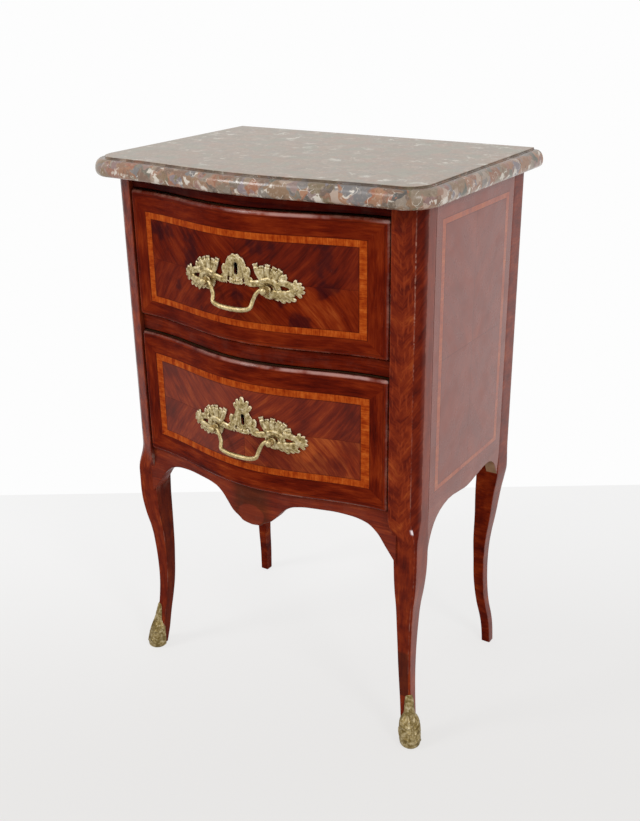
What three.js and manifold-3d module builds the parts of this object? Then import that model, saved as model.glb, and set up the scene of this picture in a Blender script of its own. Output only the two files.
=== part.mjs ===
// A small serpentine commode: two drawers over cabriole legs, under a marble slab.
// Millimetres. +X is the right-hand side seen from the front, -Y is the front and +Z is up.
// The pieces are drawn with y = 0 on the back of the case and z = 0 on the floor.
import * as THREE from "three";
import { mergeVertices } from "three/addons/utils/BufferGeometryUtils.js";
import Module from "manifold-3d";

const wasm = await Module();
wasm.setup();

// Overall sizes
const overallHeight = 740;
const caseWidth = 444;
const sideLength = 262;
const seatGap = 0.3;
const cutOverrun = 5;

// Marble slab: plan of the top face and the moulded edge
const slabThickness = 24;
const slabSideReach = 6;
const slabBackReach = 12.5;
const slabFrontReach = 12;
const slabBow = 15.5;
const slabCornerAcross = 25;
const slabCornerDeep = 30;
const quirkWidth = 2;
const quirkDepth = 2.5;
const noseReach = 13;

// Serpentine front and canted corners
const frontPostWidth = 34.5;
const postAdvance = 22.5;
const bowDepth = 32;
const arrisInset = 10.5;
const arrisAdvance = 9.2;
const frontPostDepth = 18.6;
const rearPostSide = 30;

// Rails and drawer openings, from the top down
const topRailHeight = 14;
const upperOpening = 166;
const midRailHeight = 20;
const lowerOpening = 174;
const railSetback = 7;
const rearRailDepth = 40;

// Carcass boards
const sideThickness = 16;
const backThickness = 8;
const backInset = 2;
const apronThickness = 22;
const apronDrop = 55;
const apronTenon = 8;
const backRailHeight = 24;
const backRailThickness = 20;
const bottomThickness = 5;
const sideArchDrop = 73;

// Drawer running gear
const lowerRunnerThickness = 8;
const runnerWidth = 19;
const guideHeight = 14;
const stopThickness = 8;

// Drawers
const drawerPlay = 1.5;
const frontThickness = 20;
const edgeRadius = 5;
const drawerSideThickness = 12;
const drawerSideTopPlay = 2.5;
const drawerBackThickness = 12;
const drawerBackClearance = 10;
const drawerBottomThickness = 5;
const drawerBottomLift = 9;
const grooveDepth = 6;

// Front legs
const kneeDrop = 54;
const kneeBlock = 12;
const postFootDrop = 6;
const kneeSide = 31.9;
const kneeProud = 1.05;
const ankleSwing = 6.2;
const arrisChamfer = 2.4;

// Rear legs
const rearKneeDrop = 40;
const rearKneeSide = 32.2;
const rearKneeInset = 0.4;
const rearSwing = 10;

// Gilt shoes on the front feet
const shoeHeight = 75;
const shoeWidth = 29;
const shoeSole = 3;
const shoeAdvance = 6;

// Drawer mounts: one casting with a keyhole, and a bail hung between two posts
const mountHalfWidth = 90;
const mountThickness = 3;
const mountRelief = 3;
const keyholeWidth = 5.6;
const keyholeHeight = 15;
const upperKeyDrop = 70;
const lowerKeyDrop = 75.5;
const postSpacing = 88;
const postDrop = 20;
const postHeadRadius = 4.6;
const postHeadLength = 13;
const pivotReach = 10;
const postShankRadius = 2;
const nutRadius = 5;
const nutThickness = 4;
const pinRadius = 1.9;
const bailRadius = 3.1;
const bailFootWidth = 54;
const bailDrop = 26;
const bailBulge = 7;

// Locks
const lockWidth = 60;
const lockHeight = 50;
const lockThickness = 11;
const lockRecess = 5;
const lockBelowKey = 22;
const lockWall = 3;
const boltWidth = 10;
const boltThickness = 4;
const boltThrow = 7;
const boltFoot = 6;

// Fineness of curves
const bowSteps = 12;
const cornerSteps = 5;
const roundSides = 16;
const lobeSides = 6;
const arcSides = 12;
const legSteps = 18;
const kneeSteps = 4;
const apronSteps = 20;
const archSteps = 28;
const bailSteps = 48;
const bailSides = 8;

// Heights and planes that the pieces share
const caseTop = overallHeight - slabThickness;
const halfCase = caseWidth / 2;
const halfOpening = halfCase - frontPostWidth;
const postFront = sideLength + postAdvance;
const postBack = sideLength - frontPostDepth;
const upperTop = caseTop - topRailHeight;
const upperFloor = upperTop - upperOpening;
const lowerTop = upperFloor - midRailHeight;
const lowerFloor = lowerTop - lowerOpening;
const runnerFoot = lowerFloor - lowerRunnerThickness;
const kneeHeight = lowerFloor - kneeDrop;
const kneeTop = kneeHeight + kneeBlock;
const rearKneeHeight = lowerFloor - rearKneeDrop;
const postFoot = lowerFloor - postFootDrop;
const panelInside = halfCase - sideThickness;
const backFace = -(backInset + backThickness);
const rearRailFront = backFace - seatGap - rearRailDepth;
const drawerBackPlane = backFace - drawerBackClearance;
const drawerHalf = halfOpening - drawerPlay;
const drawerInside = drawerHalf - drawerSideThickness;

const finishes = {
  marble: { color: 0x8a7468, roughness: 0.25, metalness: 0 },
  veneer: { color: 0x6b2618, roughness: 0.3, metalness: 0 },
  veneerDark: { color: 0x54201a, roughness: 0.35, metalness: 0 },
  oak: { color: 0xa9805a, roughness: 0.7, metalness: 0 },
  bronze: { color: 0xb9ab78, roughness: 0.4, metalness: 0.9 },
  iron: { color: 0x6d6a66, roughness: 0.5, metalness: 0.9 },
};

// Solids: closed geometry in, closed geometry out
function solidFrom(geometry) {
  const shell = geometry.clone();
  shell.deleteAttribute("normal");
  shell.deleteAttribute("uv");
  const merged = mergeVertices(shell);
  const solid = new wasm.Manifold(
    new wasm.Mesh({
      numProp: 3,
      vertProperties: merged.attributes.position.array,
      triVerts: new Uint32Array(merged.index.array),
    }),
  );
  return solid;
}

function geometryFrom(solid) {
  const mesh = solid.getMesh();
  const geometry = new THREE.BufferGeometry();
  geometry.setAttribute("position", new THREE.BufferAttribute(mesh.vertProperties, 3));
  geometry.setIndex(new THREE.BufferAttribute(mesh.triVerts, 1));
  geometry.computeVertexNormals();
  return geometry;
}

function cut(geometry, ...cutters) {
  const left = cutters.reduce((body, cutter) => body.subtract(solidFrom(cutter)), solidFrom(geometry));
  return geometryFrom(left);
}

function join(...geometries) {
  const [first, ...rest] = geometries.map(solidFrom);
  return geometryFrom(rest.reduce((body, next) => body.add(next), first));
}

function common(one, other) {
  return geometryFrom(solidFrom(one).intersect(solidFrom(other)));
}

// A block between two corners
function block([x0, y0, z0], [x1, y1, z1]) {
  const box = new THREE.BoxGeometry(x1 - x0, y1 - y0, z1 - z0);
  return box.translate((x0 + x1) / 2, (y0 + y1) / 2, (z0 + z1) / 2);
}

// A plan outline raised between two heights
function raise(shape, low, high) {
  const depth = high - low;
  return new THREE.ExtrudeGeometry(shape, { depth, bevelEnabled: false }).translate(0, 0, low);
}

// An outline in x and z, carried from one y to another
function carryBack(shape, front, back, curveSegments = arcSides) {
  const depth = back - front;
  const geometry = new THREE.ExtrudeGeometry(shape, { depth, bevelEnabled: false, curveSegments });
  return geometry.rotateX(Math.PI / 2).translate(0, back, 0);
}

// An outline in y and z, carried from one x to another
function carryAcross(shape, left, right) {
  const depth = right - left;
  const geometry = new THREE.ExtrudeGeometry(shape, { depth, bevelEnabled: false });
  return geometry.rotateX(Math.PI / 2).rotateZ(Math.PI / 2).translate(left, 0, 0);
}

// A closed skin over rings of equally many points, turned to face outwards
function loft(rings) {
  const count = rings[0].length;
  const centres = [rings[0], rings[rings.length - 1]].map((ring) =>
    ring.reduce((sum, point) => sum.add(point), new THREE.Vector3()).divideScalar(count),
  );
  const points = [...rings.flat(), ...centres];
  const faces = [];
  for (let ring = 0; ring < rings.length - 1; ring += 1) {
    for (let side = 0; side < count; side += 1) {
      const next = (side + 1) % count;
      const a = ring * count + side;
      const b = ring * count + next;
      faces.push(a, b, b + count, a, b + count, a + count);
    }
  }
  const last = (rings.length - 1) * count;
  const firstCentre = rings.length * count;
  for (let side = 0; side < count; side += 1) {
    const next = (side + 1) % count;
    faces.push(firstCentre, next, side);
    faces.push(firstCentre + 1, last + side, last + next);
  }
  if (signedVolume(points, faces) < 0) {
    faces.reverse();
  }
  const geometry = new THREE.BufferGeometry().setFromPoints(points);
  geometry.setIndex(faces);
  return geometry;
}

function signedVolume(points, faces) {
  let volume = 0;
  for (let at = 0; at < faces.length; at += 3) {
    const [a, b, c] = [points[faces[at]], points[faces[at + 1]], points[faces[at + 2]]];
    volume += a.dot(new THREE.Vector3().crossVectors(b, c));
  }
  return volume;
}

// The same geometry on the other side of the middle
function mirrored(geometry) {
  const indexed = geometry.index ? geometry.clone() : mergeVertices(geometry);
  indexed.scale(-1, 1, 1);
  indexed.index.array.reverse();
  return indexed;
}

function smooth(share) {
  return share * share * (3 - 2 * share);
}

// A value read from rows of shares, eased along a smooth curve through them
function curveThrough(rows, column) {
  const curve = new THREE.SplineCurve(rows.map((row) => new THREE.Vector2(row[0], row[column])));
  return (share) => curve.getPoint(share).y;
}

// How far the drawer faces stand in front of the back of the case
function bowAt(x, setback) {
  const turn = Math.PI * Math.min(1, Math.abs(x) / halfOpening);
  return -(postFront - setback + (bowDepth * (1 + Math.cos(turn))) / 2);
}

function bowStations(halfWidth) {
  const stations = [-halfWidth];
  for (let step = -bowSteps; step <= bowSteps; step += 1) {
    const x = (step / bowSteps) * halfOpening;
    if (Math.abs(x) < halfWidth - seatGap) {
      stations.push(x);
    }
  }
  stations.push(halfWidth);
  return stations;
}

// A plan with a serpentine front; its back is straight at one depth, or follows the front
function bowedPlan(halfWidth, setback, backLine) {
  const stations = bowStations(halfWidth);
  const front = stations.map((x) => new THREE.Vector2(x, bowAt(x, setback)));
  const back = stations.map((x) => new THREE.Vector2(x, backLine(x)));
  const straight = back.every((point) => point.y === back[0].y);
  const closing = straight ? [back[back.length - 1], back[0]] : back.reverse();
  return new THREE.Shape([...front, ...closing]);
}

// Marble slab: rings of the plan, set out or in to follow the moulded edge
function slabPlan(reach) {
  const half = halfCase + slabSideReach;
  const front = postFront + slabFrontReach;
  const cornerX = half - slabCornerAcross;
  const cornerY = -(front - slabCornerDeep);
  const right = [new THREE.Vector2(half + reach, slabBackReach)];
  for (let step = 0; step <= cornerSteps; step += 1) {
    const turn = ((step / cornerSteps) * Math.PI) / 2;
    const x = cornerX + (slabCornerAcross + reach) * Math.cos(turn);
    const y = cornerY - (slabCornerDeep + reach) * Math.sin(turn);
    right.push(new THREE.Vector2(x, y));
  }
  for (let step = bowSteps - 1; step >= 0; step -= 1) {
    const x = (step / bowSteps) * cornerX;
    const swell = (slabBow * (1 + Math.cos((Math.PI * step) / bowSteps))) / 2;
    right.push(new THREE.Vector2(x, -(front + swell + reach)));
  }
  const left = right.slice(0, -1).map((point) => new THREE.Vector2(-point.x, point.y));
  return [...right, ...left.reverse()];
}

// The nose is widest a little under its middle
const noseFullnessShare = 0.8;
const noseSagShare = 1.25;

function marbleTop() {
  const noseTop = overallHeight - quirkDepth;
  const edge = [[0, overallHeight], [0, noseTop]];
  for (let step = 0; step <= 2 * cornerSteps; step += 1) {
    const turn = Math.PI / 2 - (step / (2 * cornerSteps)) * Math.PI;
    const reach = quirkWidth + (noseReach - quirkWidth) * Math.cos(turn) ** noseFullnessShare;
    const riseShare = ((1 + Math.sin(turn)) / 2) ** noseSagShare;
    edge.push([reach, caseTop + (noseTop - caseTop) * riseShare]);
  }
  const rings = edge.map(([reach, z]) => slabPlan(reach).map(({ x, y }) => new THREE.Vector3(x, y, z)));
  return loft(rings);
}

// Front leg and canted post in one piece. Rows: height, swing out of the knee, side of the square
const frontLegShares = [
  [0, 1.93, 0.486],
  [0.1, 1.08, 0.486],
  [0.18, 0.38, 0.483],
  [0.28, -0.35, 0.508],
  [0.375, -0.85, 0.549],
  [0.445, -1, 0.596],
  [0.525, -0.98, 0.661],
  [0.61, -0.76, 0.74],
  [0.757, -0.26, 0.887],
  [0.87, 0.05, 0.975],
  [1, 0, 1],
];
const frontSwingAt = curveThrough(frontLegShares, 1);
const frontSideAt = curveThrough(frontLegShares, 2);

function frontLegCentre(share) {
  const swing = (frontSwingAt(share) * ankleSwing) / Math.SQRT2;
  const x = halfCase + kneeProud - kneeSide / 2 + swing;
  const y = -(postBack + kneeSide / 2) - swing;
  return new THREE.Vector3(x, y, share * kneeHeight);
}

// Points run from the inner back corner round the outside to the inner front corner
function frontLegSection(share, grow) {
  const half = (frontSideAt(share) * kneeSide) / 2 + grow;
  const { x, y, z: height } = frontLegCentre(share);
  return [
    new THREE.Vector3(x - half, y + half, height),
    new THREE.Vector3(x + half, y + half, height),
    new THREE.Vector3(x + half, y - half + arrisChamfer, height),
    new THREE.Vector3(x + half - arrisChamfer, y - half, height),
    new THREE.Vector3(x - half, y - half, height),
  ];
}

function frontPostSection(height, grow) {
  const arrisX = halfCase - arrisInset;
  const arrisY = -(sideLength + arrisAdvance);
  return [
    new THREE.Vector3(halfOpening - grow, -postBack + grow, height),
    new THREE.Vector3(halfCase + grow, -postBack + grow, height),
    new THREE.Vector3(halfCase + grow, -sideLength - grow / 2, height),
    new THREE.Vector3(arrisX + grow / 2, arrisY - grow, height),
    new THREE.Vector3(halfOpening - grow, -postFront - grow, height),
  ];
}

function raisedTo(section, height) {
  return section.map((point) => point.clone().setZ(height));
}

function blendSections(lower, upper, share, height) {
  return lower.map((point, at) => point.clone().lerp(upper[at], share).setZ(height));
}

function frontLeg(grow) {
  const sole = shoeSole + seatGap - grow;
  const rings = [raisedTo(frontLegSection(0, grow), sole)];
  for (let step = 1; step <= legSteps; step += 1) {
    rings.push(frontLegSection(step / legSteps, grow));
  }
  const knee = raisedTo(frontLegSection(1, grow), kneeTop);
  const post = frontPostSection(postFoot, grow);
  for (let step = 0; step <= kneeSteps; step += 1) {
    const height = kneeTop + (postFoot - kneeTop) * (step / kneeSteps);
    rings.push(blendSections(knee, post, smooth(step / kneeSteps), height));
  }
  rings.push(frontPostSection(caseTop - seatGap + grow, grow));
  return loft(rings);
}

// Rear leg and square post in one piece. Rows: height, swing back, swing out, side of the square
const rearLegShares = [
  [0, 1.9, 0, 0.4],
  [0.05, 1.62, -0.23, 0.42],
  [0.17, 0.84, -0.7, 0.444],
  [0.3, 0.39, -0.98, 0.484],
  [0.38, 0.1, -1, 0.512],
  [0.55, -0.33, -0.78, 0.6],
  [0.71, -0.35, -0.45, 0.727],
  [0.82, -0.25, -0.26, 0.86],
  [1, 0, 0, 1],
];
const rearSwingBackAt = curveThrough(rearLegShares, 1);
const rearSwingOutAt = curveThrough(rearLegShares, 2);
const rearSideAt = curveThrough(rearLegShares, 3);

function squareSection(x, y, half, height) {
  return [
    new THREE.Vector3(x - half, y + half, height),
    new THREE.Vector3(x + half, y + half, height),
    new THREE.Vector3(x + half, y - half, height),
    new THREE.Vector3(x - half, y - half, height),
  ];
}

function rearLeg(grow) {
  const postX = halfCase - rearPostSide / 2;
  const kneeY = -rearKneeInset - rearKneeSide / 2;
  const rings = [];
  for (let step = 0; step <= legSteps; step += 1) {
    const share = step / legSteps;
    const half = (rearSideAt(share) * rearKneeSide) / 2 + grow;
    const x = postX + rearSwingOutAt(share) * rearSwing;
    const y = kneeY + rearSwingBackAt(share) * rearSwing;
    rings.push(squareSection(x, y, half, share * rearKneeHeight));
  }
  const knee = rings[rings.length - 1];
  const post = squareSection(postX, -rearPostSide / 2, rearPostSide / 2 + grow, postFoot);
  for (let step = 1; step <= kneeSteps; step += 1) {
    const height = rearKneeHeight + (postFoot - rearKneeHeight) * (step / kneeSteps);
    rings.push(blendSections(knee, post, smooth(step / kneeSteps), height));
  }
  rings.push(raisedTo(post, caseTop - seatGap + grow));
  return loft(rings);
}

// A board or apron let into the legs keeps its gap to all four of them
function fitBetweenLegs(geometry) {
  const front = frontLeg(seatGap);
  const rear = rearLeg(seatGap);
  return cut(geometry, front, mirrored(front), rear, mirrored(rear));
}

// Shoe on the foot. Rows: height, middle along the diagonal, half depth, half width
const shoeShares = [
  [0, -0.06, 0.38, 0.36],
  [0.04, -0.07, 0.48, 0.46],
  [0.15, -0.1, 0.5, 0.5],
  [0.3, -0.16, 0.47, 0.5],
  [0.42, -0.22, 0.43, 0.48],
  [0.51, -0.26, 0.37, 0.42],
  [0.57, -0.28, 0.29, 0.32],
  [0.63, -0.28, 0.24, 0.25],
  [0.82, -0.33, 0.19, 0.22],
  [0.95, -0.38, 0.14, 0.16],
  [1, -0.4, 0.08, 0.08],
];

function shoe() {
  const outwards = new THREE.Vector3(1, -1, 0).normalize();
  const sideways = new THREE.Vector3(1, 1, 0).normalize();
  const origin = frontLegCentre(0).addScaledVector(outwards, shoeAdvance);
  const rings = shoeShares.map(([height, along, depth, width]) => {
    const ring = [];
    for (let side = 0; side < roundSides; side += 1) {
      const turn = (side / roundSides) * 2 * Math.PI;
      const point = origin.clone().setZ(height * shoeHeight);
      point.addScaledVector(outwards, (along + depth * Math.cos(turn)) * shoeWidth);
      point.addScaledVector(sideways, width * Math.sin(turn) * shoeWidth);
      ring.push(point);
    }
    return ring;
  });
  return cut(loft(rings), frontLeg(seatGap));
}

// Front apron with its pendant. Rows: half of the outline, across and down from its top edge
const apronShares = [
  [0.075, 0.963],
  [0.096, 0.907],
  [0.16, 0.785],
  [0.213, 0.589],
  [0.267, 0.411],
  [0.33, 0.308],
  [0.427, 0.27],
  [0.57, 0.272],
  [0.72, 0.318],
  [0.827, 0.42],
  [0.907, 0.636],
  [0.965, 0.916],
  [1.02, 1.29],
];

function frontApron() {
  const top = lowerFloor;
  const edge = halfOpening + apronTenon;
  const right = apronShares.map(
    ([across, down]) => new THREE.Vector2(across * halfOpening, top - down * apronDrop),
  );
  const sweep = new THREE.SplineCurve(right).getPoints(apronSteps);
  const tip = new THREE.Vector2(0, top - apronDrop);
  const left = sweep.map(({ x, y }) => new THREE.Vector2(-x, y)).reverse();
  const foot = sweep[sweep.length - 1].y;
  const outline = new THREE.Shape([
    new THREE.Vector2(-edge, top),
    new THREE.Vector2(-edge, foot),
    ...left,
    tip,
    ...sweep,
    new THREE.Vector2(edge, foot),
    new THREE.Vector2(edge, top),
  ]);
  const deepest = -(postFront + bowDepth + cutOverrun);
  const board = carryBack(outline, deepest, -postBack + cutOverrun);
  const plan = bowedPlan(edge, railSetback, (x) => bowAt(x, railSetback + apronThickness));
  const band = raise(plan, 0, top);
  return fitBetweenLegs(common(board, band));
}

// Side panel with its arched lower edge. Rows: back from the front leg, and down from the arch line
const sideArchShares = [
  [0, 1],
  [0.014, 0.73],
  [0.07, 0.42],
  [0.155, 0.24],
  [0.28, 0.16],
  [0.42, 0.205],
  [0.53, 0.235],
  [0.66, 0.18],
  [0.79, 0.13],
  [0.87, 0.16],
  [0.93, 0.28],
  [0.97, 0.46],
  [1, 0.66],
];

function sidePanel() {
  const front = -postBack;
  const length = postBack - rearPostSide;
  const top = caseTop - seatGap;
  const archLine = lowerFloor;
  const arch = sideArchShares.map(
    ([back, down]) => new THREE.Vector2(front + back * length, archLine - down * sideArchDrop),
  );
  const sweep = new THREE.SplineCurve(arch).getPoints(archSteps);
  const first = sweep[0];
  const last = sweep[sweep.length - 1];
  const outline = new THREE.Shape([
    new THREE.Vector2(first.x - apronTenon, first.y),
    ...sweep,
    new THREE.Vector2(last.x + apronTenon, last.y),
    new THREE.Vector2(last.x + apronTenon, top),
    new THREE.Vector2(first.x - apronTenon, top),
  ]);
  return fitBetweenLegs(carryAcross(outline, panelInside, halfCase));
}

// Rails across the front; each takes the bolt of the lock below it in a mortise
function frontRail(low, high) {
  const plan = bowedPlan(halfOpening - seatGap, railSetback, () => -postBack);
  const mortiseTop = low + boltThrow + seatGap;
  const mortise = boltRoom(low - cutOverrun, mortiseTop);
  return cut(raise(plan, low, high), mortise);
}

function boltRoom(low, high) {
  const back = bowAt(0, frontThickness) + seatGap;
  const half = boltWidth / 2 + seatGap;
  return block([-half, back - boltThickness - 2 * seatGap, low], [half, back, high]);
}

function rearRail() {
  const half = halfCase - rearPostSide - seatGap;
  return block([-half, rearRailFront, upperTop], [half, backFace - seatGap, caseTop - seatGap]);
}

function backPanel() {
  const half = halfCase - rearPostSide - seatGap;
  return block([-half, backFace, runnerFoot], [half, -backInset, caseTop - seatGap]);
}

function backBottomRail() {
  const half = halfCase - rearPostSide - seatGap;
  const high = runnerFoot - seatGap;
  const front = -(backInset + backRailThickness);
  return fitBetweenLegs(block([-half, front, high - backRailHeight], [half, -backInset, high]));
}

// Bottom board: serpentine in front, notched round the posts, below the lower runners
function bottomBoard() {
  const high = runnerFoot - seatGap;
  const half = panelInside - seatGap;
  const back = -(backInset + backRailThickness + seatGap);
  const plan = bowedPlan(half, railSetback + apronThickness + seatGap, () => back);
  return fitBetweenLegs(raise(plan, high - bottomThickness, high));
}

// Drawer runner: rebated strip with a guide beside the drawer and a stop behind it.
// The upper one is as thick as the rail in front of it, so that it also keeps the lower drawer level
function runner(floor, thickness) {
  const front = -postBack + seatGap;
  const low = floor - thickness;
  const inside = halfOpening - runnerWidth;
  const shelf = block([inside, front, low], [halfOpening, backFace - seatGap, floor]);
  const guideBack = -(rearPostSide + seatGap);
  const outer = panelInside - seatGap;
  const guide = block([halfOpening, front, low], [outer, guideBack, floor + guideHeight]);
  const stopFace = drawerBackPlane + seatGap;
  const stop = block([inside, stopFace, low], [halfOpening, stopFace + stopThickness, floor + guideHeight]);
  return join(shelf, guide, stop);
}

// Kicker over the side of the upper drawer, level with the underside of the top rail
function kicker() {
  const front = -postBack + seatGap;
  const inside = halfOpening - runnerWidth;
  const outside = panelInside - seatGap;
  return block([inside, front, upperTop], [outside, rearRailFront - seatGap, caseTop - seatGap]);
}

// Drawers
function roundedEdge(distance) {
  const short = Math.max(0, edgeRadius - distance);
  return edgeRadius - Math.sqrt(edgeRadius * edgeRadius - short * short);
}

// Distances from an edge at which the rounding is drawn
function edgeStations() {
  const stations = [];
  for (let step = 0; step <= cornerSteps; step += 1) {
    stations.push(edgeRadius * (1 - Math.cos(((step / cornerSteps) * Math.PI) / 2)));
  }
  return stations;
}

function drawerFront(drawer) {
  const inner = bowStations(drawerHalf - edgeRadius);
  const rim = edgeStations().slice(0, -1);
  const across = [
    ...rim.map((distance) => distance - drawerHalf),
    ...inner,
    ...rim.map((distance) => drawerHalf - distance).reverse(),
  ];
  const rings = across.map((x) => {
    const side = roundedEdge(drawerHalf - Math.abs(x));
    const back = bowAt(x, frontThickness);
    const lower = edgeStations().map((distance) => [distance, drawer.frontLow + distance]);
    const upper = edgeStations().map((distance) => [distance, drawer.frontHigh - distance]);
    const face = [...lower, ...upper.reverse()].map(([distance, z]) => {
      const y = bowAt(x, side + roundedEdge(distance));
      return new THREE.Vector3(x, y, z);
    });
    const backLow = new THREE.Vector3(x, back, drawer.frontLow);
    const backHigh = new THREE.Vector3(x, back, drawer.frontHigh);
    return [backLow, ...face, backHigh];
  });
  const boltFloor = drawer.keyHeight - lockBelowKey - seatGap;
  return cut(
    loft(rings),
    lockRoom(drawer),
    boltRoom(boltFloor, drawer.frontHigh + cutOverrun),
    keyhole(drawer, seatGap),
    ...postBores(drawer),
  );
}

function drawerSide(drawer) {
  const front = bowAt(drawerInside, frontThickness) + seatGap;
  const low = drawer.floor + seatGap;
  const board = block([drawerInside, front, low], [drawerHalf, drawerBackPlane, drawer.sideHigh]);
  const grooveLow = low + drawerBottomLift - seatGap;
  const grooveHigh = grooveLow + drawerBottomThickness + 2 * seatGap;
  const groove = block(
    [drawerInside - cutOverrun, front - cutOverrun, grooveLow],
    [drawerInside + grooveDepth, drawerBackPlane + cutOverrun, grooveHigh],
  );
  const behindFront = raise(
    bowedPlan(halfOpening, -cutOverrun, (x) => bowAt(x, frontThickness) + seatGap),
    drawer.floor - cutOverrun,
    drawer.frontHigh + cutOverrun,
  );
  return cut(board, groove, behindFront);
}

function drawerBack(drawer) {
  const half = drawerInside - seatGap;
  const low = drawer.floor + 2 * seatGap + drawerBottomLift + drawerBottomThickness;
  const front = drawerBackPlane - drawerBackThickness;
  return block([-half, front, low], [half, drawerBackPlane, drawer.sideHigh - drawerBottomLift]);
}

function drawerBottom(drawer) {
  const half = drawerInside + grooveDepth - seatGap;
  const low = drawer.floor + seatGap + drawerBottomLift;
  const plan = bowedPlan(half, frontThickness + seatGap, () => drawerBackPlane);
  return raise(plan, low, low + drawerBottomThickness);
}

// Keyhole through the casting and the drawer front, round-ended
function keyhole(drawer, grow) {
  const half = keyholeWidth / 2 + grow;
  const rise = keyholeHeight / 2 - keyholeWidth / 2;
  const outline = new THREE.Shape();
  outline.absarc(0, drawer.keyHeight + rise, half, 0, Math.PI, false);
  outline.absarc(0, drawer.keyHeight - rise, half, Math.PI, 2 * Math.PI, false);
  const front = bowAt(0, 0) - mountThickness - mountRelief - cutOverrun;
  const back = lockFront + cutOverrun;
  return carryBack(outline, front, back);
}

// Lock: an iron box let into the back of the drawer front, and a bolt that rises into the rail
const lockFront = bowAt(0, frontThickness) - lockRecess;

function lockRoom(drawer) {
  const half = lockWidth / 2 + seatGap;
  const low = drawer.keyHeight - lockBelowKey - seatGap;
  const high = low + lockHeight + 2 * seatGap;
  return block([-half, lockFront - seatGap, low], [half, lockFront + frontThickness, high]);
}

function lockCase(drawer) {
  const half = lockWidth / 2;
  const low = drawer.keyHeight - lockBelowKey;
  const box = block([-half, lockFront, low], [half, lockFront + lockThickness, low + lockHeight]);
  const channel = boltRoom(drawer.keyHeight + boltFoot - seatGap, low + lockHeight + cutOverrun);
  const well = keyhole(drawer, seatGap);
  const wellDepth = block(
    [-half - cutOverrun, lockFront + lockWall, low - cutOverrun],
    [half + cutOverrun, lockFront + lockThickness + cutOverrun, low + lockHeight + cutOverrun],
  );
  return cut(box, channel, cut(well, wellDepth));
}

function lockBolt(drawer) {
  const back = bowAt(0, frontThickness);
  const half = boltWidth / 2;
  const low = drawer.keyHeight + boltFoot;
  const high = drawer.frontHigh - seatGap;
  return block([-half, back - boltThickness, low], [half, back, high]);
}

// Rococo casting. Rows: across and up from the keyhole, half length, half width, and turn
const wingShares = [
  [0.5, -0.11, 0.25, 0.13, -0.25],
  [0.33, 0.02, 0.09, 0.04, 1.9],
  [0.45, 0.03, 0.1, 0.055, 1.4],
  [0.6, 0.01, 0.11, 0.06, 1.05],
  [0.71, -0.07, 0.1, 0.05, 0.5],
  [0.79, -0.19, 0.15, 0.045, -0.45],
  [0.88, -0.11, 0.08, 0.035, 1.3],
  [0.93, -0.21, 0.07, 0.035, -0.15],
  [0.88, -0.3, 0.08, 0.04, -1],
  [0.74, -0.31, 0.13, 0.05, -0.6],
  [0.56, -0.27, 0.1, 0.05, -1.2],
  [0.42, -0.25, 0.09, 0.055, 1.4],
  [0.22, -0.14, 0.19, 0.05, 0.1],
  [0.15, 0.09, 0.07, 0.05, 0.6],
];
const cartoucheShares = [
  [0, 0.01, 0.17, 0.19, 0],
  [0, -0.19, 0.06, 0.07, 0],
];
const finialShares = [
  [0, 0.25, 0.07, 0.13, 0],
  [0.06, 0.31, 0.07, 0.03, 0.8],
  [-0.06, 0.31, 0.07, 0.03, -0.8],
];
const reliefShares = [
  [0.49, -0.18, 0.17, 0.09, -0.2],
  [0.74, -0.2, 0.14, 0.03, -0.45],
  [0.23, -0.14, 0.16, 0.03, 0.1],
];

function lobe([across, up, length, width, turn], side, drawer) {
  const x = side * across * mountHalfWidth;
  const z = drawer.keyHeight + up * mountHalfWidth;
  const outline = new THREE.Shape();
  const [halfLong, halfWide] = [length * mountHalfWidth, width * mountHalfWidth];
  outline.absellipse(x, z, halfLong, halfWide, 0, 2 * Math.PI, false, side * turn);
  const front = bowAt(0, 0) - pivotReach - cutOverrun;
  return carryBack(outline, front, -postBack, lobeSides);
}

// The shell in front of the drawer face that a casting of this thickness fills
function shellOnFace(drawer, thickness) {
  const reach = mountHalfWidth + cutOverrun;
  const plan = bowedPlan(reach, -seatGap - thickness, (x) => bowAt(x, -seatGap));
  return raise(plan, drawer.frontLow, drawer.frontHigh);
}

function mountCasting(drawer) {
  const wings = wingShares.flatMap((row) => [lobe(row, 1, drawer), lobe(row, -1, drawer)]);
  const middle = cartoucheShares.map((row) => lobe(row, 1, drawer));
  const crest = drawer.hasFinial ? finialShares.map((row) => lobe(row, 1, drawer)) : [];
  const plate = common(join(...wings, ...middle, ...crest), shellOnFace(drawer, mountThickness));
  const stems = reliefShares.flatMap((row) => [lobe(row, 1, drawer), lobe(row, -1, drawer)]);
  const relief = common(join(...stems), shellOnFace(drawer, mountThickness + mountRelief));
  return cut(join(plate, relief), keyhole(drawer, 0), ...postBores(drawer));
}

// Bail posts: a drilled head in front of the casting, and a shank held by a nut inside
const postAcross = postSpacing / 2;
const pivotPlane = bowAt(postAcross, 0) - pivotReach;
const postSeat = bowAt(postAcross - postHeadRadius, 0) - mountThickness;

function rodAlongY(radius, front, back, x, z) {
  const rod = new THREE.CylinderGeometry(radius, radius, back - front, roundSides);
  return rod.translate(x, (front + back) / 2, z);
}

function postBores(drawer) {
  const front = pivotPlane - cutOverrun;
  const z = drawer.keyHeight - postDrop;
  return [postAcross, -postAcross].flatMap((x) => [
    rodAlongY(postHeadRadius + seatGap, front, postSeat, x, z),
    rodAlongY(postShankRadius + seatGap, front, -postBack, x, z),
  ]);
}

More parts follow.
